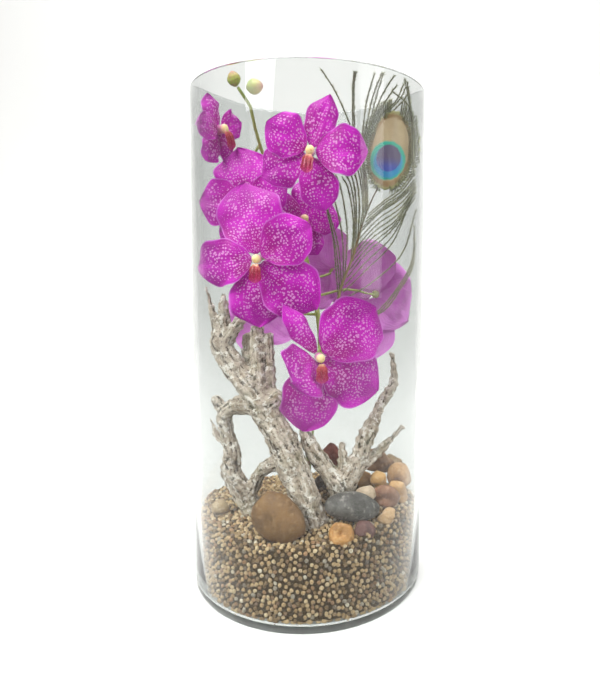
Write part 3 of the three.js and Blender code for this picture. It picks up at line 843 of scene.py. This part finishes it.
def makeBud(node, name, lean, ribs):
    # a beaked oval with five shallow folds where the tepals meet
    middle, half = boxMiddle(node), boxHalf(node)
    lean = np.array(lean, float) / np.linalg.norm(lean)
    side = np.cross(lean, (0.2, 1.0, 0.3))
    side /= np.linalg.norm(side)
    other = np.cross(lean, side)
    length = np.abs(half @ np.abs(lean)) / mm
    width = np.sort(half)[0] / mm * 1.2
    profile = [(0.05, -length), (1.3, -length * 0.92), (width * 0.72, -length * 0.6),
        (width * 0.98, -length * 0.15)]
    profile += [(width * 0.9, length * 0.3), (width * 0.6, length * 0.68), (width * 0.3, length * 0.9),
        (0.05, length)]
    heights = np.array([z for _, z in profile])
    fine = np.linspace(heights[0], heights[-1], 26)
    profile = list(zip(np.interp(fine, heights, [r for r, _ in profile]), fine))

    def place(points):
        angle = np.arctan2(points[:, 1], points[:, 0])
        fold = 1 - ribs * np.abs(np.sin(angle * 2.5)) ** 8
        x, y, z = points[:, 0] * fold, points[:, 1] * fold, points[:, 2]
        return middle + (np.outer(x, side) + np.outer(y, other) + np.outer(z, lean)) * mm

    settle(roundMesh(name, profile, place, bpy.data.materials["orchidBud"], 30), node)


makeSpike(spike)
orchidBud()
makeBud("bud_top", "budTop", (-0.25, -0.1, 1.0), 0.14)
makeBud("bud_second", "budSecond", (0.9, 0.0, 0.1), 0.14)
print("spike and buds made")

pebbleStones = {
    "pebble_brown_egg": ("#87643c", "#6b4d2e", "#a2815a"),
    "pebble_dark_grey": ("#625e59", "#45413d", "#a09a92"),
    "pebble_orange": ("#c08a4a", "#a0703a", "#d8ab72"),
    "pebble_plum": ("#6d4a45", "#4f3533", "#8f6b64"),
    "pebble_tan_front": ("#c8a376", "#a98357", "#dcc29d"),
    "pebble_pale_low": ("#cbb49a", "#ab9478", "#e0d0bd"),
    "pebble_russet": ("#93664c", "#744c36", "#b38a6e"),
    "pebble_pale_orange": ("#d2a468", "#b08249", "#e5c594"),
    "pebble_tan_left": ("#c29560", "#a17743", "#dab98d"),
    "pebble_tan_right": ("#c79c62", "#a67c46", "#dfbf91"),
    "pebble_brown_chunk": ("#8f6a4c", "#6e4d33", "#b08c6c"),
    "pebble_sandy_big": ("#b88c5a", "#94693c", "#d3b085"),
    "pebble_behind": ("#a08462", "#7d6344", "#bea584"),
    "pebble_dark_red": ("#7a3d30", "#592a20", "#a06354"),
    "pebble_dark_brown": ("#4f3d33", "#362822", "#75604f"),
    "pebble_brown_back": ("#8a6a52", "#684b36", "#ab8d74"),
    "pebble_small_tan": ("#b39a74", "#917953", "#cfbb9a"),
}
pebbleShape = {"levels": 5, "lumps": 0.06, "flats": 0.3, "grow": 1.3}
# smoother, and closer to its node
bigPebble = {"levels": 5, "lumps": 0.03, "flats": 0.09, "grow": 1.07, "taper": 0.16, "shear": 0.14}


def riverPebble(name, colours):
    # water-worn stone: matt with a faint polish, cloudy colour, darker pits and pale mineral grains under
    # 1 mm
    ground, dark, pale = colours
    material, tree, shader = newMaterial(name, {"Roughness": 0.55, "Specular IOR Level": 0.4})
    place = objectPlace(tree)
    clouds = rangeOf(tree, noiseOf(tree, place, 90.0, 4.0), 0.35, 0.65)
    colour = mixColours(tree, clouds, ground, dark)
    colour = mixColours(tree, rangeOf(tree, noiseOf(tree, place, 260.0, 4.0), 0.52, 0.7, 0.0, 0.7),
        colour, pale)
    grains = addNode(tree, "ShaderNodeTexVoronoi", {"Vector": place, "Scale": 1300.0})
    colour = mixColours(tree, rangeOf(tree, grains.outputs["Distance"], 0.12, 0.34, 0.5, 0.0), colour,
        pale)
    pits = addNode(tree, "ShaderNodeTexVoronoi", {"Vector": place, "Scale": 700.0})
    pit = rangeOf(tree, pits.outputs["Distance"], 0.1, 0.3, 0.5, 0.0)
    colour = mixColours(tree, pit, colour, dark)
    tree.links.new(colour, shader.inputs["Base Color"])
    height = maths(tree, "SUBTRACT", noiseOf(tree, place, 420.0, 5.0), pit)
    bumpInto(tree, shader, height, 0.45, 0.0005)
    return material


def makePebble(node, colours, values, seed):
    draw = np.random.default_rng(seed)
    made = bpy.data.meshes.new(node + "_stone")
    ball = bmesh.new()
    bmesh.ops.create_icosphere(ball, subdivisions=values["levels"], radius=1.0)
    ball.to_mesh(made)
    ball.free()
    skin = pointsOf(made)
    way = skin / np.linalg.norm(skin, axis=1)[:, None]
    reach = np.ones(len(way))
    for _ in range(9):
        flat = draw.normal(size=3)
        flat /= np.linalg.norm(flat)
        reach -= values["flats"] * np.clip(way @ flat - draw.uniform(0.55, 0.8), 0, 1) * 2.2
    reach *= 1 + values["lumps"] * waves(way * mm * 10, 9, seed) + 0.012 * waves(way * mm * 10, 2.2,
        seed + 1)
    shape = way * reach[:, None]
    shape /= np.abs(shape).max(0)
    shape[:, :2] *= 1 - values.get("taper", 0.0) * shape[:, 2:]
    shape[:, 0] -= values.get("shear", 0.0) * shape[:, 2]
    placePoints(made, boxMiddle(node) + shape * boxHalf(node) * values["grow"])
    made.polygons.foreach_set("use_smooth", [True] * len(made.polygons))
    made.materials.append(riverPebble(node + "Stone", colours))
    piece = bpy.data.objects.new(node + "_stone", made)
    scene.collection.objects.link(piece)
    settle(piece, node)


for number, (node, colours) in enumerate(pebbleStones.items()):
    makePebble(node, colours, bigPebble if number < 2 else pebbleShape, 40 + number)
print("pebbles made")

gravel = {
    "grain": 3.6,
    "spacing": 2.8,
    "kinds": 6,
    "edge": 90.85,
    "floor": 5.15,
    "seed": 7,
    "shrink": 1.5,
    "layers": [  # name, lowest and highest slope, spacing, grain size, seed
        ("gravelSide", -0.4, 0.4, 3.0, 3.3, 7),
        ("gravelTop", 0.4, 2.0, 2.9, 3.4, 11),
        ("gravelBottom", -2.0, -0.4, 4.2, 5.0, 13),
    ],
}


def gravelGrit():
    # crushed volcanic grit: matt grains 3 to 4 mm, from cream through tan to rust and grey
    material, tree, shader = newMaterial("gravelGrit", {"Roughness": 0.9, "Specular IOR Level": 0.2})
    tint = attributeOf(tree, "tint")
    stops = [(0.0, "#6b563c"), (0.14, "#9a7f5c"), (0.32, "#bda076"), (0.5, "#cbae82"), (0.64, "#dbc59e"),
        (0.78, "#ab8460"),
             (0.88, "#806650"), (0.94, "#7d7468"), (1.0, "#e8dcc4")]
    base = rampOf(tree, tint, stops)
    place = objectPlace(tree)
    base = mixColours(tree, rangeOf(tree, noiseOf(tree, place, 900.0, 4.0), 0.45, 0.7, 0.0, 0.6), base,
        "#8d7656")
    tree.links.new(base, shader.inputs["Base Color"])
    bumpInto(tree, shader, noiseOf(tree, place, 1600.0, 4.0), 0.6, 0.0005)
    return material


def grainNodes(values):
    # one rough grain on every scattered point, turned, sized and tinted at random
    tree = bpy.data.node_groups.new("gravelGrains", "GeometryNodeTree")
    face = tree.interface
    face.new_socket("Geometry", in_out="INPUT", socket_type="NodeSocketGeometry")
    sizes = {"Spacing": values["spacing"] * mm, "Grain Size": values["grain"] * mm, "Lowest Slope": -2.0,
        "Highest Slope": 2.0}
    for name, value in sizes.items():
        face.new_socket(name, in_out="INPUT", socket_type="NodeSocketFloat").default_value = value
    face.new_socket("Seed", in_out="INPUT", socket_type="NodeSocketInt").default_value = values["seed"]
    face.new_socket("Material", in_out="INPUT", socket_type="NodeSocketMaterial")
    face.new_socket("Geometry", in_out="OUTPUT", socket_type="NodeSocketGeometry")
    group = addNode(tree, "NodeGroupInput").outputs
    cube = addNode(tree, "GeometryNodeMeshCube", {0: (1.0, 1.0, 1.0), 1: 3, 2: 3, 3: 3}).outputs[0]
    place = addNode(tree, "GeometryNodeInputPosition").outputs[0]
    way = addNode(tree, "ShaderNodeVectorMath", {0: place}, operation="NORMALIZE").outputs[0]
    shapes = addNode(tree, "GeometryNodeJoinGeometry")
    for kind in range(values["kinds"]):
        offset = addNode(tree, "ShaderNodeVectorMath",
            {0: place, 1: (kind * 3.7, kind * 1.9, kind * 5.3)}, operation="ADD").outputs[0]
        lump = addNode(tree, "ShaderNodeTexNoise",
            {"Vector": offset, "Scale": 1.4, "Detail": 1.0}).outputs[0]
        reach = addNode(tree, "ShaderNodeMapRange", {0: lump, 1: 0.3, 2: 0.7, 3: 0.42, 4: 0.6}).outputs[0]
        ball = addNode(tree, "ShaderNodeVectorMath", {0: way, 3: reach}, operation="SCALE").outputs[0]
        grain = addNode(tree, "GeometryNodeSetPosition", {0: cube, 2: ball}).outputs[0]
        one = addNode(tree, "GeometryNodeGeometryToInstance", {0: grain}).outputs[0]
        tree.links.new(one, shapes.inputs[0])
    normal = addNode(tree, "GeometryNodeInputNormal").outputs[0]
    slope = addNode(tree, "ShaderNodeSeparateXYZ", {0: normal}).outputs[2]
    above = addNode(tree, "FunctionNodeCompare", {0: slope, 1: group["Lowest Slope"]},
        operation="GREATER_THAN").outputs[0]
    below = addNode(tree, "FunctionNodeCompare", {0: slope, 1: group["Highest Slope"]},
        operation="LESS_EQUAL").outputs[0]
    chosen = addNode(tree, "FunctionNodeBooleanMath", {0: above, 1: below}).outputs[0]
    inputs = {"Mesh": group["Geometry"], "Selection": chosen, "Distance Min": group["Spacing"],
        "Density Max": 900000.0,
              "Seed": group["Seed"]}
    points = addNode(tree, "GeometryNodeDistributePointsOnFaces", inputs,
        distribute_method="POISSON").outputs[0]
    tint = addNode(tree, "FunctionNodeRandomValue", {"Seed": 3}, data_type="FLOAT").outputs[1]
    points = addNode(tree, "GeometryNodeStoreNamedAttribute",
        {"Geometry": points, "Name": "tint", "Value": tint}).outputs[0]
    turn = addNode(tree, "FunctionNodeRandomValue",
        {0: (0.0, 0.0, 0.0), 1: (6.28, 6.28, 6.28), "Seed": 5},
                   data_type="FLOAT_VECTOR").outputs[0]
    ways = addNode(tree, "FunctionNodeRandomValue",
        {0: (0.8, 0.8, 0.75), 1: (1.12, 1.12, 1.05), "Seed": 6},
                   data_type="FLOAT_VECTOR").outputs[0]
    size = addNode(tree, "ShaderNodeVectorMath", {0: ways, 3: group["Grain Size"]},
        operation="SCALE").outputs[0]
    kind = addNode(tree, "FunctionNodeRandomValue", {4: 0, 5: values["kinds"] - 1, "Seed": 8},
        data_type="INT").outputs[2]
    inputs = {"Points": points, "Instance": shapes.outputs[0], "Pick Instance": True,
        "Instance Index": kind,
              "Rotation": turn, "Scale": size}
    grains = addNode(tree, "GeometryNodeInstanceOnPoints", inputs).outputs[0]
    real = addNode(tree, "GeometryNodeRealizeInstances", {0: grains}).outputs[0]
    done = addNode(tree, "GeometryNodeSetMaterial",
        {"Geometry": real, "Material": group["Material"]}).outputs[0]
    addNode(tree, "NodeGroupOutput", {0: done})
    return tree


def makeGravel(values):
    # the shrunk core under the grains is painted dark brown as shade, and shows through the gaps between
    # them
    core = cadCopy("gravel_bed", "gravelCore", gravelGapShade())
    madePlain(core)
    skin = pointsOf(core.data)
    placePoints(core.data, skin - normalsOf(core.data) * values["shrink"] * mm)
    tree, grit = grainNodes(values), gravelGrit()
    for name, low, high, spacing, grain, seed in values["layers"]:
        piece = bpy.data.objects.new(name, core.data.copy())
        scene.collection.objects.link(piece)
        modifier = piece.modifiers.new("grains", "NODES")
        modifier.node_group = tree
        wanted = {"Spacing": spacing * mm, "Grain Size": grain * mm, "Lowest Slope": low,
            "Highest Slope": high,
                  "Seed": seed, "Material": grit}
        for socket in tree.interface.items_tree:
            if socket.in_out == "INPUT" and socket.name in wanted:
                modifier[socket.identifier] = wanted[socket.name]
        madePlain(piece)
        points = pointsOf(piece.data)
        out = np.hypot(points[:, 0], points[:, 1]) / mm
        points[:, :2] *= np.minimum(1, values["edge"] / np.maximum(out, 1))[:, None]
        points[:, 2] = np.maximum(points[:, 2], values["floor"] * mm)
        placePoints(piece.data, points)
        settle(piece, "gravel_bed")
        print(name, len(piece.data.polygons) * 2, "triangles")
    settle(core, "gravel_bed")


def gravelGapShade():
    # painted shade for the gaps between the grains: a dark brown core under the grains that stands in for
    # the shadow between them
    material, tree, shader = newMaterial("gravelGapShade", {"Roughness": 1.0, "Specular IOR Level": 0.1})
    colour = mixColours(tree, noiseOf(tree, objectPlace(tree), 300.0), "#3d2f20", "#5a4830")
    tree.links.new(colour, shader.inputs["Base Color"])
    return material


makeGravel(gravel)
print("gravel made")

feather = {
    "quill": [(14, -12, 130), (20, -14, 176), (25, -15, 233), (37, -20, 269), (44, -25, 294),
        (50, -29, 310), (57, -30, 325), (61, -31, 336)],
    "quillRadii": (1.7, 1.5, 1.2, 1.0, 0.8, 0.6, 0.5, 0.3),
    "eye": (64, -36, 348),
    "eyeHalf": (17, 0.8, 28.5),
    "barbuleGap": 0.5,
    "barbuleLength": 2.3,
    "shaft": 0.38,
    "close": {"top": 350, "tips": 22, "roots": 14},  # where barbs are close enough for one between
    "seed": 21,
}
barbPaths = [
    [(25, -15, 233), (23, -17, 260), (20, -19, 287), (12, -22, 320)],
    [(28, -16, 240), (25, -18, 276), (17, -21, 304), (13, -22, 316)],
    [(30, -17, 248), (32, -21, 287), (28, -24, 317), (23, -26, 332)],
    [(35, -19, 263), (37, -23, 294), (33, -26, 320), (28, -28, 330)],
    [(39, -21, 276), (39, -26, 308), (37, -28, 325), (32, -30, 338)],
    [(42, -24, 287), (44, -28, 307), (42, -30, 327), (38, -32, 342)],
    [(46, -28, 299), (46, -31, 314), (44, -33, 333), (42, -34, 348)],
    [(48, -30, 304), (47, -33, 324), (44, -35, 345), (44, -37, 360)],
    [(29, -15, 239), (48, -18, 258), (69, -22, 281), (84, -28, 322)],
    [(32, -17, 251), (48, -20, 271), (68, -24, 290), (84, -29, 314)],
    [(36, -19, 264), (51, -22, 282), (71, -27, 298), (84, -29, 322)],
    [(39, -21, 275), (55, -25, 293), (73, -29, 306), (83, -31, 320)],
    [(42, -24, 287), (57, -28, 302), (73, -31, 313), (83, -32, 324)],
    [(46, -27, 295), (60, -30, 307), (73, -32, 316), (82, -34, 327)],
    [(48, -29, 301), (61, -32, 312), (73, -34, 321), (82, -34, 335)],
    [(25, -15, 232), (48, -15, 244), (76, -16, 270), (86, -23, 305)],
    [(24, -14, 212), (52, -8, 219), (70, -8, 237), (84, -10, 260), (87, -14, 277)],
    [(25, -14, 218), (59, -8, 221), (76, -8, 241), (87, -12, 263), (86, -17, 293)],
    [(42, -35, 346), (43, -38, 359), (45, -48, 379), (50, -62, 397)],
    [(43, -35, 346), (45, -38, 360), (49, -50, 381), (55, -64, 397)],
    [(44, -35, 346), (47, -38, 361), (52, -50, 383), (56, -64, 397)],
    [(46, -35, 350), (49, -38, 365), (56, -50, 384), (64, -60, 397)],
    [(48, -36, 354), (52, -38, 368), (59, -48, 381), (66, -56, 391)],
    [(52, -37, 360), (56, -39, 372), (66, -48, 381), (71, -53, 393)],
    [(56, -37, 362), (60, -39, 373), (69, -46, 383), (73, -51, 392)],
    [(60, -37, 364), (64, -39, 374), (72, -44, 383), (75, -47, 389)],
    [(82, -36, 346), (80, -39, 362), (76, -45, 379), (64, -52, 387)],
    [(82, -35, 336), (80, -38, 349), (78, -42, 373), (72, -52, 397)],
    [(82, -34, 330), (80, -38, 344), (79, -40, 369), (74, -49, 396)],
    [(40, -33, 340), (36, -36, 362), (35, -50, 388), (36, -64, 397)],
    [(40, -33, 340), (37, -36, 363), (36, -50, 388), (37, -64, 397)],
    [(39, -32, 342), (34, -34, 365), (23, -52, 385), (13, -68, 397)],
]


def peacockBarb():
    # feather keratin: dark brown shafts whose loose barbules glint bronze and grey-green
    material, tree, shader = newMaterial("peacockBarb", {"Roughness": 0.5, "Sheen Weight": 0.2})
    place = objectPlace(tree)
    fringe = attributeOf(tree, "fringe")
    green = mixColours(tree, rangeOf(tree, noiseOf(tree, place, 60.0), 0.4, 0.65), "#868c68", "#b4b48c")
    colour = mixColours(tree, fringe, "#54482f", green)
    tree.links.new(colour, shader.inputs["Base Color"])
    return material


def peacockEye():
    # the eye: a bronze oval round a turquoise ring and an indigo heart, all iridescent, with a gold-green
    # fringe
    values = {"Roughness": 0.38, "Sheen Weight": 0.3, "Specular IOR Level": 0.6}
    material, tree, shader = newMaterial("peacockEye", values)
    across = attributeOf(tree, "across")
    upward = attributeOf(tree, "upward")
    wobble = addNode(tree, "ShaderNodeMath", {0: noiseOf(tree, objectPlace(tree), 500.0, 2.0), 1: 0.5},
        operation="SUBTRACT").outputs[0]

    def oval(x, z, wide, tall):
        dx = maths(tree, "DIVIDE", maths(tree, "SUBTRACT", across, x), wide)
        dz = maths(tree, "DIVIDE", maths(tree, "SUBTRACT", upward, z), tall)
        both = maths(tree, "ADD", maths(tree, "MULTIPLY", dx, dx), maths(tree, "MULTIPLY", dz, dz))
        return maths(tree, "ADD", maths(tree, "SQRT", both), maths(tree, "MULTIPLY", wobble, 0.12))

    gold = mixColours(tree, noiseOf(tree, objectPlace(tree), 250.0), "#a5ae66", "#d6cd92")
    colour = mixColours(tree, rangeOf(tree, oval(0.0, 0.0, 16.5, 27.0), 0.92, 1.04, 1.0, 0.0), gold,
        "#b08a58")
    bronze = mixColours(tree, noiseOf(tree, objectPlace(tree), 180.0), "#e0c49c", "#c4ad80")
    colour = mixColours(tree, rangeOf(tree, oval(0.0, 1.0, 14.5, 24.0), 0.9, 1.0, 1.0, 0.0), colour,
        bronze)
    colour = mixColours(tree, rangeOf(tree, oval(-1.0, -7.0, 13.5, 14.5), 0.93, 1.03, 1.0, 0.0), colour,
        "#2cc4a6")
    colour = mixColours(tree, rangeOf(tree, oval(-0.5, -8.0, 11.5, 12.0), 0.85, 1.05, 1.0, 0.0), colour,
        "#1fa0dc")
    heart = mixColours(tree, rangeOf(tree, upward, -14.0, -3.0), "#3f56c4", "#64557a")
    colour = mixColours(tree, rangeOf(tree, oval(-0.5, -5.0, 9.5, 10.0), 0.9, 1.04, 1.0, 0.0), colour,
        heart)
    barbs = attributeOf(tree, "barbs")
    lines = addNode(tree, "ShaderNodeMath", {0: maths(tree, "MULTIPLY", barbs, 6.0)},
        operation="SINE").outputs[0]
    lines = maths(tree, "MULTIPLY_ADD", lines, 0.5)
    colour = mixColours(tree, rangeOf(tree, lines, 0.1, 0.5, 0.0, 0.18), colour, "#4a4028")
    tree.links.new(colour, shader.inputs["Base Color"])
    bumpInto(tree, shader, lines, 0.5, 0.0006)
    return material


def featherNodes(values):
    # barbs and barbules: a fine shaft along each path, with pairs of slim wedges slanting towards its tip
    tree = bpy.data.node_groups.new("featherBarbs", "GeometryNodeTree")
    face = tree.interface
    face.new_socket("Geometry", in_out="INPUT", socket_type="NodeSocketGeometry")
    for name, value in {"Gap": values["barbuleGap"] * mm, "Length": values["barbuleLength"] * mm,
        "Shaft": values["shaft"] * mm}.items():
        face.new_socket(name, in_out="INPUT", socket_type="NodeSocketFloat").default_value = value
    face.new_socket("Seed", in_out="INPUT", socket_type="NodeSocketInt").default_value = values["seed"]
    face.new_socket("Material", in_out="INPUT", socket_type="NodeSocketMaterial")
    face.new_socket("Geometry", in_out="OUTPUT", socket_type="NodeSocketGeometry")
    group = addNode(tree, "NodeGroupInput").outputs
    curve = addNode(tree, "GeometryNodeMeshToCurve", {0: group["Geometry"]}).outputs[0]
    ring = addNode(tree, "GeometryNodeCurvePrimitiveCircle",
        {"Resolution": 5, "Radius": group["Shaft"]}).outputs[0]
    inputs = {"Curve": curve, "Profile Curve": ring, "Fill Caps": True}
    shaft = addNode(tree, "GeometryNodeCurveToMesh", inputs).outputs[0]
    shaft = addNode(tree, "GeometryNodeStoreNamedAttribute",
        {"Geometry": shaft, "Name": "fringe", "Value": 0.0}).outputs[0]
    spaced = addNode(tree, "GeometryNodeCurveToPoints", {"Curve": curve, "Length": group["Gap"]},
        mode="LENGTH")
    wedge = addNode(tree, "GeometryNodeMeshCone",
        {"Vertices": 3, "Radius Top": 0.0, "Radius Bottom": 0.12, "Depth": 1.0}).outputs[0]
    parts = addNode(tree, "GeometryNodeJoinGeometry")
    tree.links.new(shaft, parts.inputs[0])
    for seed, side in ((1, -1.0), (2, 1.0)):
        euler = addNode(tree, "FunctionNodeRandomValue",
            {0: (-0.7, side * 0.35, -0.5), 1: (0.7, side * 0.85, 0.5), "Seed": seed},
                        data_type="FLOAT_VECTOR").outputs[0]
        lean = addNode(tree, "FunctionNodeEulerToRotation", {0: euler}).outputs[0]
        turned = addNode(tree, "FunctionNodeRotateRotation", {0: spaced.outputs["Rotation"], 1: lean},
            rotation_space="LOCAL").outputs[0]
        span = addNode(tree, "FunctionNodeRandomValue", {2: 0.7, 3: 1.25, "Seed": seed + 4},
            data_type="FLOAT").outputs[1]
        size = addNode(tree, "ShaderNodeMath", {0: span, 1: group["Length"]},
            operation="MULTIPLY").outputs[0]
        inputs = {"Points": spaced.outputs["Points"], "Instance": wedge, "Rotation": turned,
            "Scale": size}
        copies = addNode(tree, "GeometryNodeInstanceOnPoints", inputs).outputs[0]
        real = addNode(tree, "GeometryNodeRealizeInstances", {0: copies}).outputs[0]
        kept = addNode(tree, "GeometryNodeStoreNamedAttribute",
            {"Geometry": real, "Name": "fringe", "Value": 1.0}).outputs[0]
        tree.links.new(kept, parts.inputs[0])
    real = addNode(tree, "GeometryNodeRealizeInstances", {0: parts.outputs[0]}).outputs[0]
    done = addNode(tree, "GeometryNodeSetMaterial",
        {"Geometry": real, "Material": group["Material"]}).outputs[0]
    addNode(tree, "NodeGroupOutput", {0: done})
    return tree


def eyeTurn():
    return np.array(Matrix.Rotation(math.radians(6), 3, "Y") @ Matrix.Rotation(math.radians(12), 3, "X"))


def eyeOutline(values):
    # barbs that fan out round the eye and frame it
    middle, turned = np.array(values["eye"], float), eyeTurn()
    draw = np.random.default_rng(values["seed"])
    paths = []
    for side in (-1, 1):
        for k in np.linspace(0, 1, 44):
            angle = math.radians(-80 + 160 * k)
            start = np.array([side * 13.5 * math.cos(angle), 0.8, 24 * math.sin(angle)])
            reach = 1.0 + draw.uniform(-0.03, 0.07)
            end = np.array([side * 21.5 * math.cos(angle) * reach, draw.uniform(-1.2, 1.2),
                (32 * math.sin(angle) + 3) * reach])
            mid = (start + end) / 2 + np.array([side * 0.8, 0, -1.2])
            paths.append([tuple(middle + turned @ p) for p in (start, mid, end)])
    return paths


def makeFeather(values):
    close = values["close"]
    between = []  # one more barb between each two neighbours of the low plume
    for a, b in zip(barbPaths, barbPaths[1:]):
        if a[-1][2] < close["top"] and math.dist(a[-1], b[-1]) < close["tips"] and math.dist(a[0],
            b[0]) < close["roots"]:
            between.append(np.add(a, b) / 2)
    allPaths = barbPaths + between + eyeOutline(values)
    paths = [smoothPath([np.array(p, float) for p in path], 26) for path in allPaths]
    points = np.vstack(paths)
    edges, base = [], 0
    for path in paths:
        edges += [(base + i, base + i + 1) for i in range(len(path) - 1)]
        base += len(path)
    mesh = bpy.data.meshes.new("featherBarbs")
    mesh.from_pydata((points * mm).tolist(), edges, [])
    piece = bpy.data.objects.new("featherBarbs", mesh)
    scene.collection.objects.link(piece)
    tree = featherNodes(values)
    modifier = piece.modifiers.new("barbs", "NODES")
    modifier.node_group = tree
    barb = peacockBarb()
    for socket in tree.interface.items_tree:
        if socket.in_out == "INPUT" and socket.name == "Material":
            modifier[socket.identifier] = barb
    madePlain(piece)
    print("featherBarbs", sum(len(f.vertices) - 2 for f in piece.data.polygons), "triangles")
    settle(piece, "peacock_feather")
    quillPoints, quillFaces, _ = tube([np.array(p, float) for p in values["quill"]],
        values["quillRadii"], sides=12)
    settle(meshObject("featherQuill", quillPoints * mm, quillFaces, quillKeratin()), "peacock_feather")
    makeEye(values)


def quillKeratin():
    # the feather's shaft: smooth keratin, cream below and browner towards the eye
    material, tree, shader = newMaterial("quillKeratin", {"Roughness": 0.3})
    height = addNode(tree, "ShaderNodeSeparateXYZ", {0: objectPlace(tree)}).outputs[2]
    colour = mixColours(tree, rangeOf(tree, height, 0.2, 0.32), "#a39a6c", "#6b5236")
    tree.links.new(colour, shader.inputs["Base Color"])
    return material


def makeEye(values):
    middle, turned = np.array(values["eye"], float), eyeTurn()
    wide, thick, tall = values["eyeHalf"]
    rings, sides = 20, 72
    points, across, upward, barbs = [], [], [], []
    for face in (1, -1):
        for i in range(rings + 1):
            for k in range(sides):
                a = 2 * math.pi * k / sides
                r = i / rings
                ragged = 1 + (0.025 * math.sin(a * 23) + 0.02 * math.sin(a * 37 + 1)) * r**4
                x, z = wide * r * math.cos(a) * ragged, tall * r * math.sin(a) * ragged
                x *= 1 - 0.16 * (z / tall)  # a little broader low down
                dish = 1.2 * (x / wide) ** 2 + 0.35 * math.sin(x * 0.5 + z * 0.2)
                points.append(middle
                    + turned @ np.array([x, dish - face * 0.5 * thick * math.sqrt(max(1 - r**2, 0.05)),
                    z]))
                across.append(x)
                upward.append(z)
                barbs.append(z - abs(x) * 1.1)
    count = (rings + 1) * sides
    faces = []
    for i in range(rings):
        for k in range(sides):
            quad = [i * sides + k, i * sides + (k + 1) % sides, (i + 1) * sides + (k + 1) % sides,
                (i + 1) * sides + k]
            faces.append(quad[::-1])
            faces.append([n + count for n in quad])
    for k in range(sides):
        a, b = rings * sides + k, rings * sides + (k + 1) % sides
        faces.append([a, b, b + count, a + count][::-1])
    piece = meshObject("featherEye", np.array(points) * mm, faces, peacockEye())
    for name, kept in (("across", across), ("upward", upward), ("barbs", barbs)):
        keepValues(piece, name, kept)
    weld = piece.modifiers.new("weld", "WELD")
    weld.merge_threshold = 0.00001
    madePlain(piece)
    settle(piece, "peacock_feather")


makeFeather(feather)
print("feather made")

stage = {
    "floor": "#e6e6e4",
    "size": 6.0,  # metres across
    "depth": 1.8,  # how far behind the vase the backdrop stands
    "rise": 1.0,  # radius of the sweep from floor to backdrop
    "height": 4.0,
    "horizon": 0.36,  # strength of the sky, low and high
    "zenith": 0.6,
    "lamps": [  # name, place, target, size in metres, watts
        ("key", (-0.8, -0.9, 1.2), (0, 0, 0.2), (0.7, 0.9), 23),
        ("fill", (1.2, -0.6, 0.7), (0, 0, 0.2), (0.6, 1.2), 8),
        ("top", (0.0, 0.0, 1.4), (0, 0, 0.1), (1.0, 1.0), 17),
        ("back", (0.0, 0.6, 2.2), (0, 1.7, 0.7), (2.5, 0.8), 24),
    ],
}


def paleStage(name, colour):
    material, tree, shader = newMaterial(name, {"Roughness": 0.9, "Specular IOR Level": 0.1})
    near = mixColours(tree, noiseOf(tree, objectPlace(tree), 2.0), colour, "#ededeb")
    tree.links.new(near, shader.inputs["Base Color"])
    return material


def makeStage(values):
    # floor that curves up into a backdrop
    half, back, rise = values["size"] / 2, values["depth"], values["rise"]
    profile = [(-half, 0.0), (back - rise, 0.0)]
    for a in np.linspace(0.1, math.pi / 2, 14):
        profile.append((back - rise + rise * math.sin(a), rise - rise * math.cos(a)))
    profile.append((back, values["height"]))
    points = [(x, y, z - 0.0002) for y, z in profile for x in (-half, half)]
    faces = [(2 * i, 2 * i + 1, 2 * i + 3, 2 * i + 2) for i in range(len(profile) - 1)]
    meshObject("floor", points, faces, paleStage("paleFloor", values["floor"]))


def softLight(name, place, target, size, power):
    data = bpy.data.lights.new(name, "AREA")
    data.shape = "RECTANGLE"
    data.size, data.size_y = size
    data.energy = power
    lamp = bpy.data.objects.new(name, data)
    lamp.location = place
    lamp.rotation_euler = (Vector(target) - Vector(place)).to_track_quat("-Z", "Y").to_euler()
    scene.collection.objects.link(lamp)


def makeLights(values):
    world = bpy.data.worlds.new("studio")
    world.use_nodes = True
    sky = world.node_tree
    way = addNode(sky, "ShaderNodeTexCoord").outputs["Generated"]
    height = addNode(sky, "ShaderNodeSeparateXYZ", {0: way}).outputs[2]
    strength = rangeOf(sky, height, 0.0, 0.8, values["horizon"], values["zenith"])
    sky.nodes["Background"].inputs[0].default_value = toLinear("#ffffff")
    sky.links.new(strength, sky.nodes["Background"].inputs[1])
    scene.world = world
    for lamp in values["lamps"]:
        softLight(*lamp)


makeStage(stage)
makeLights(stage)
scene.view_settings.view_transform = "Standard"
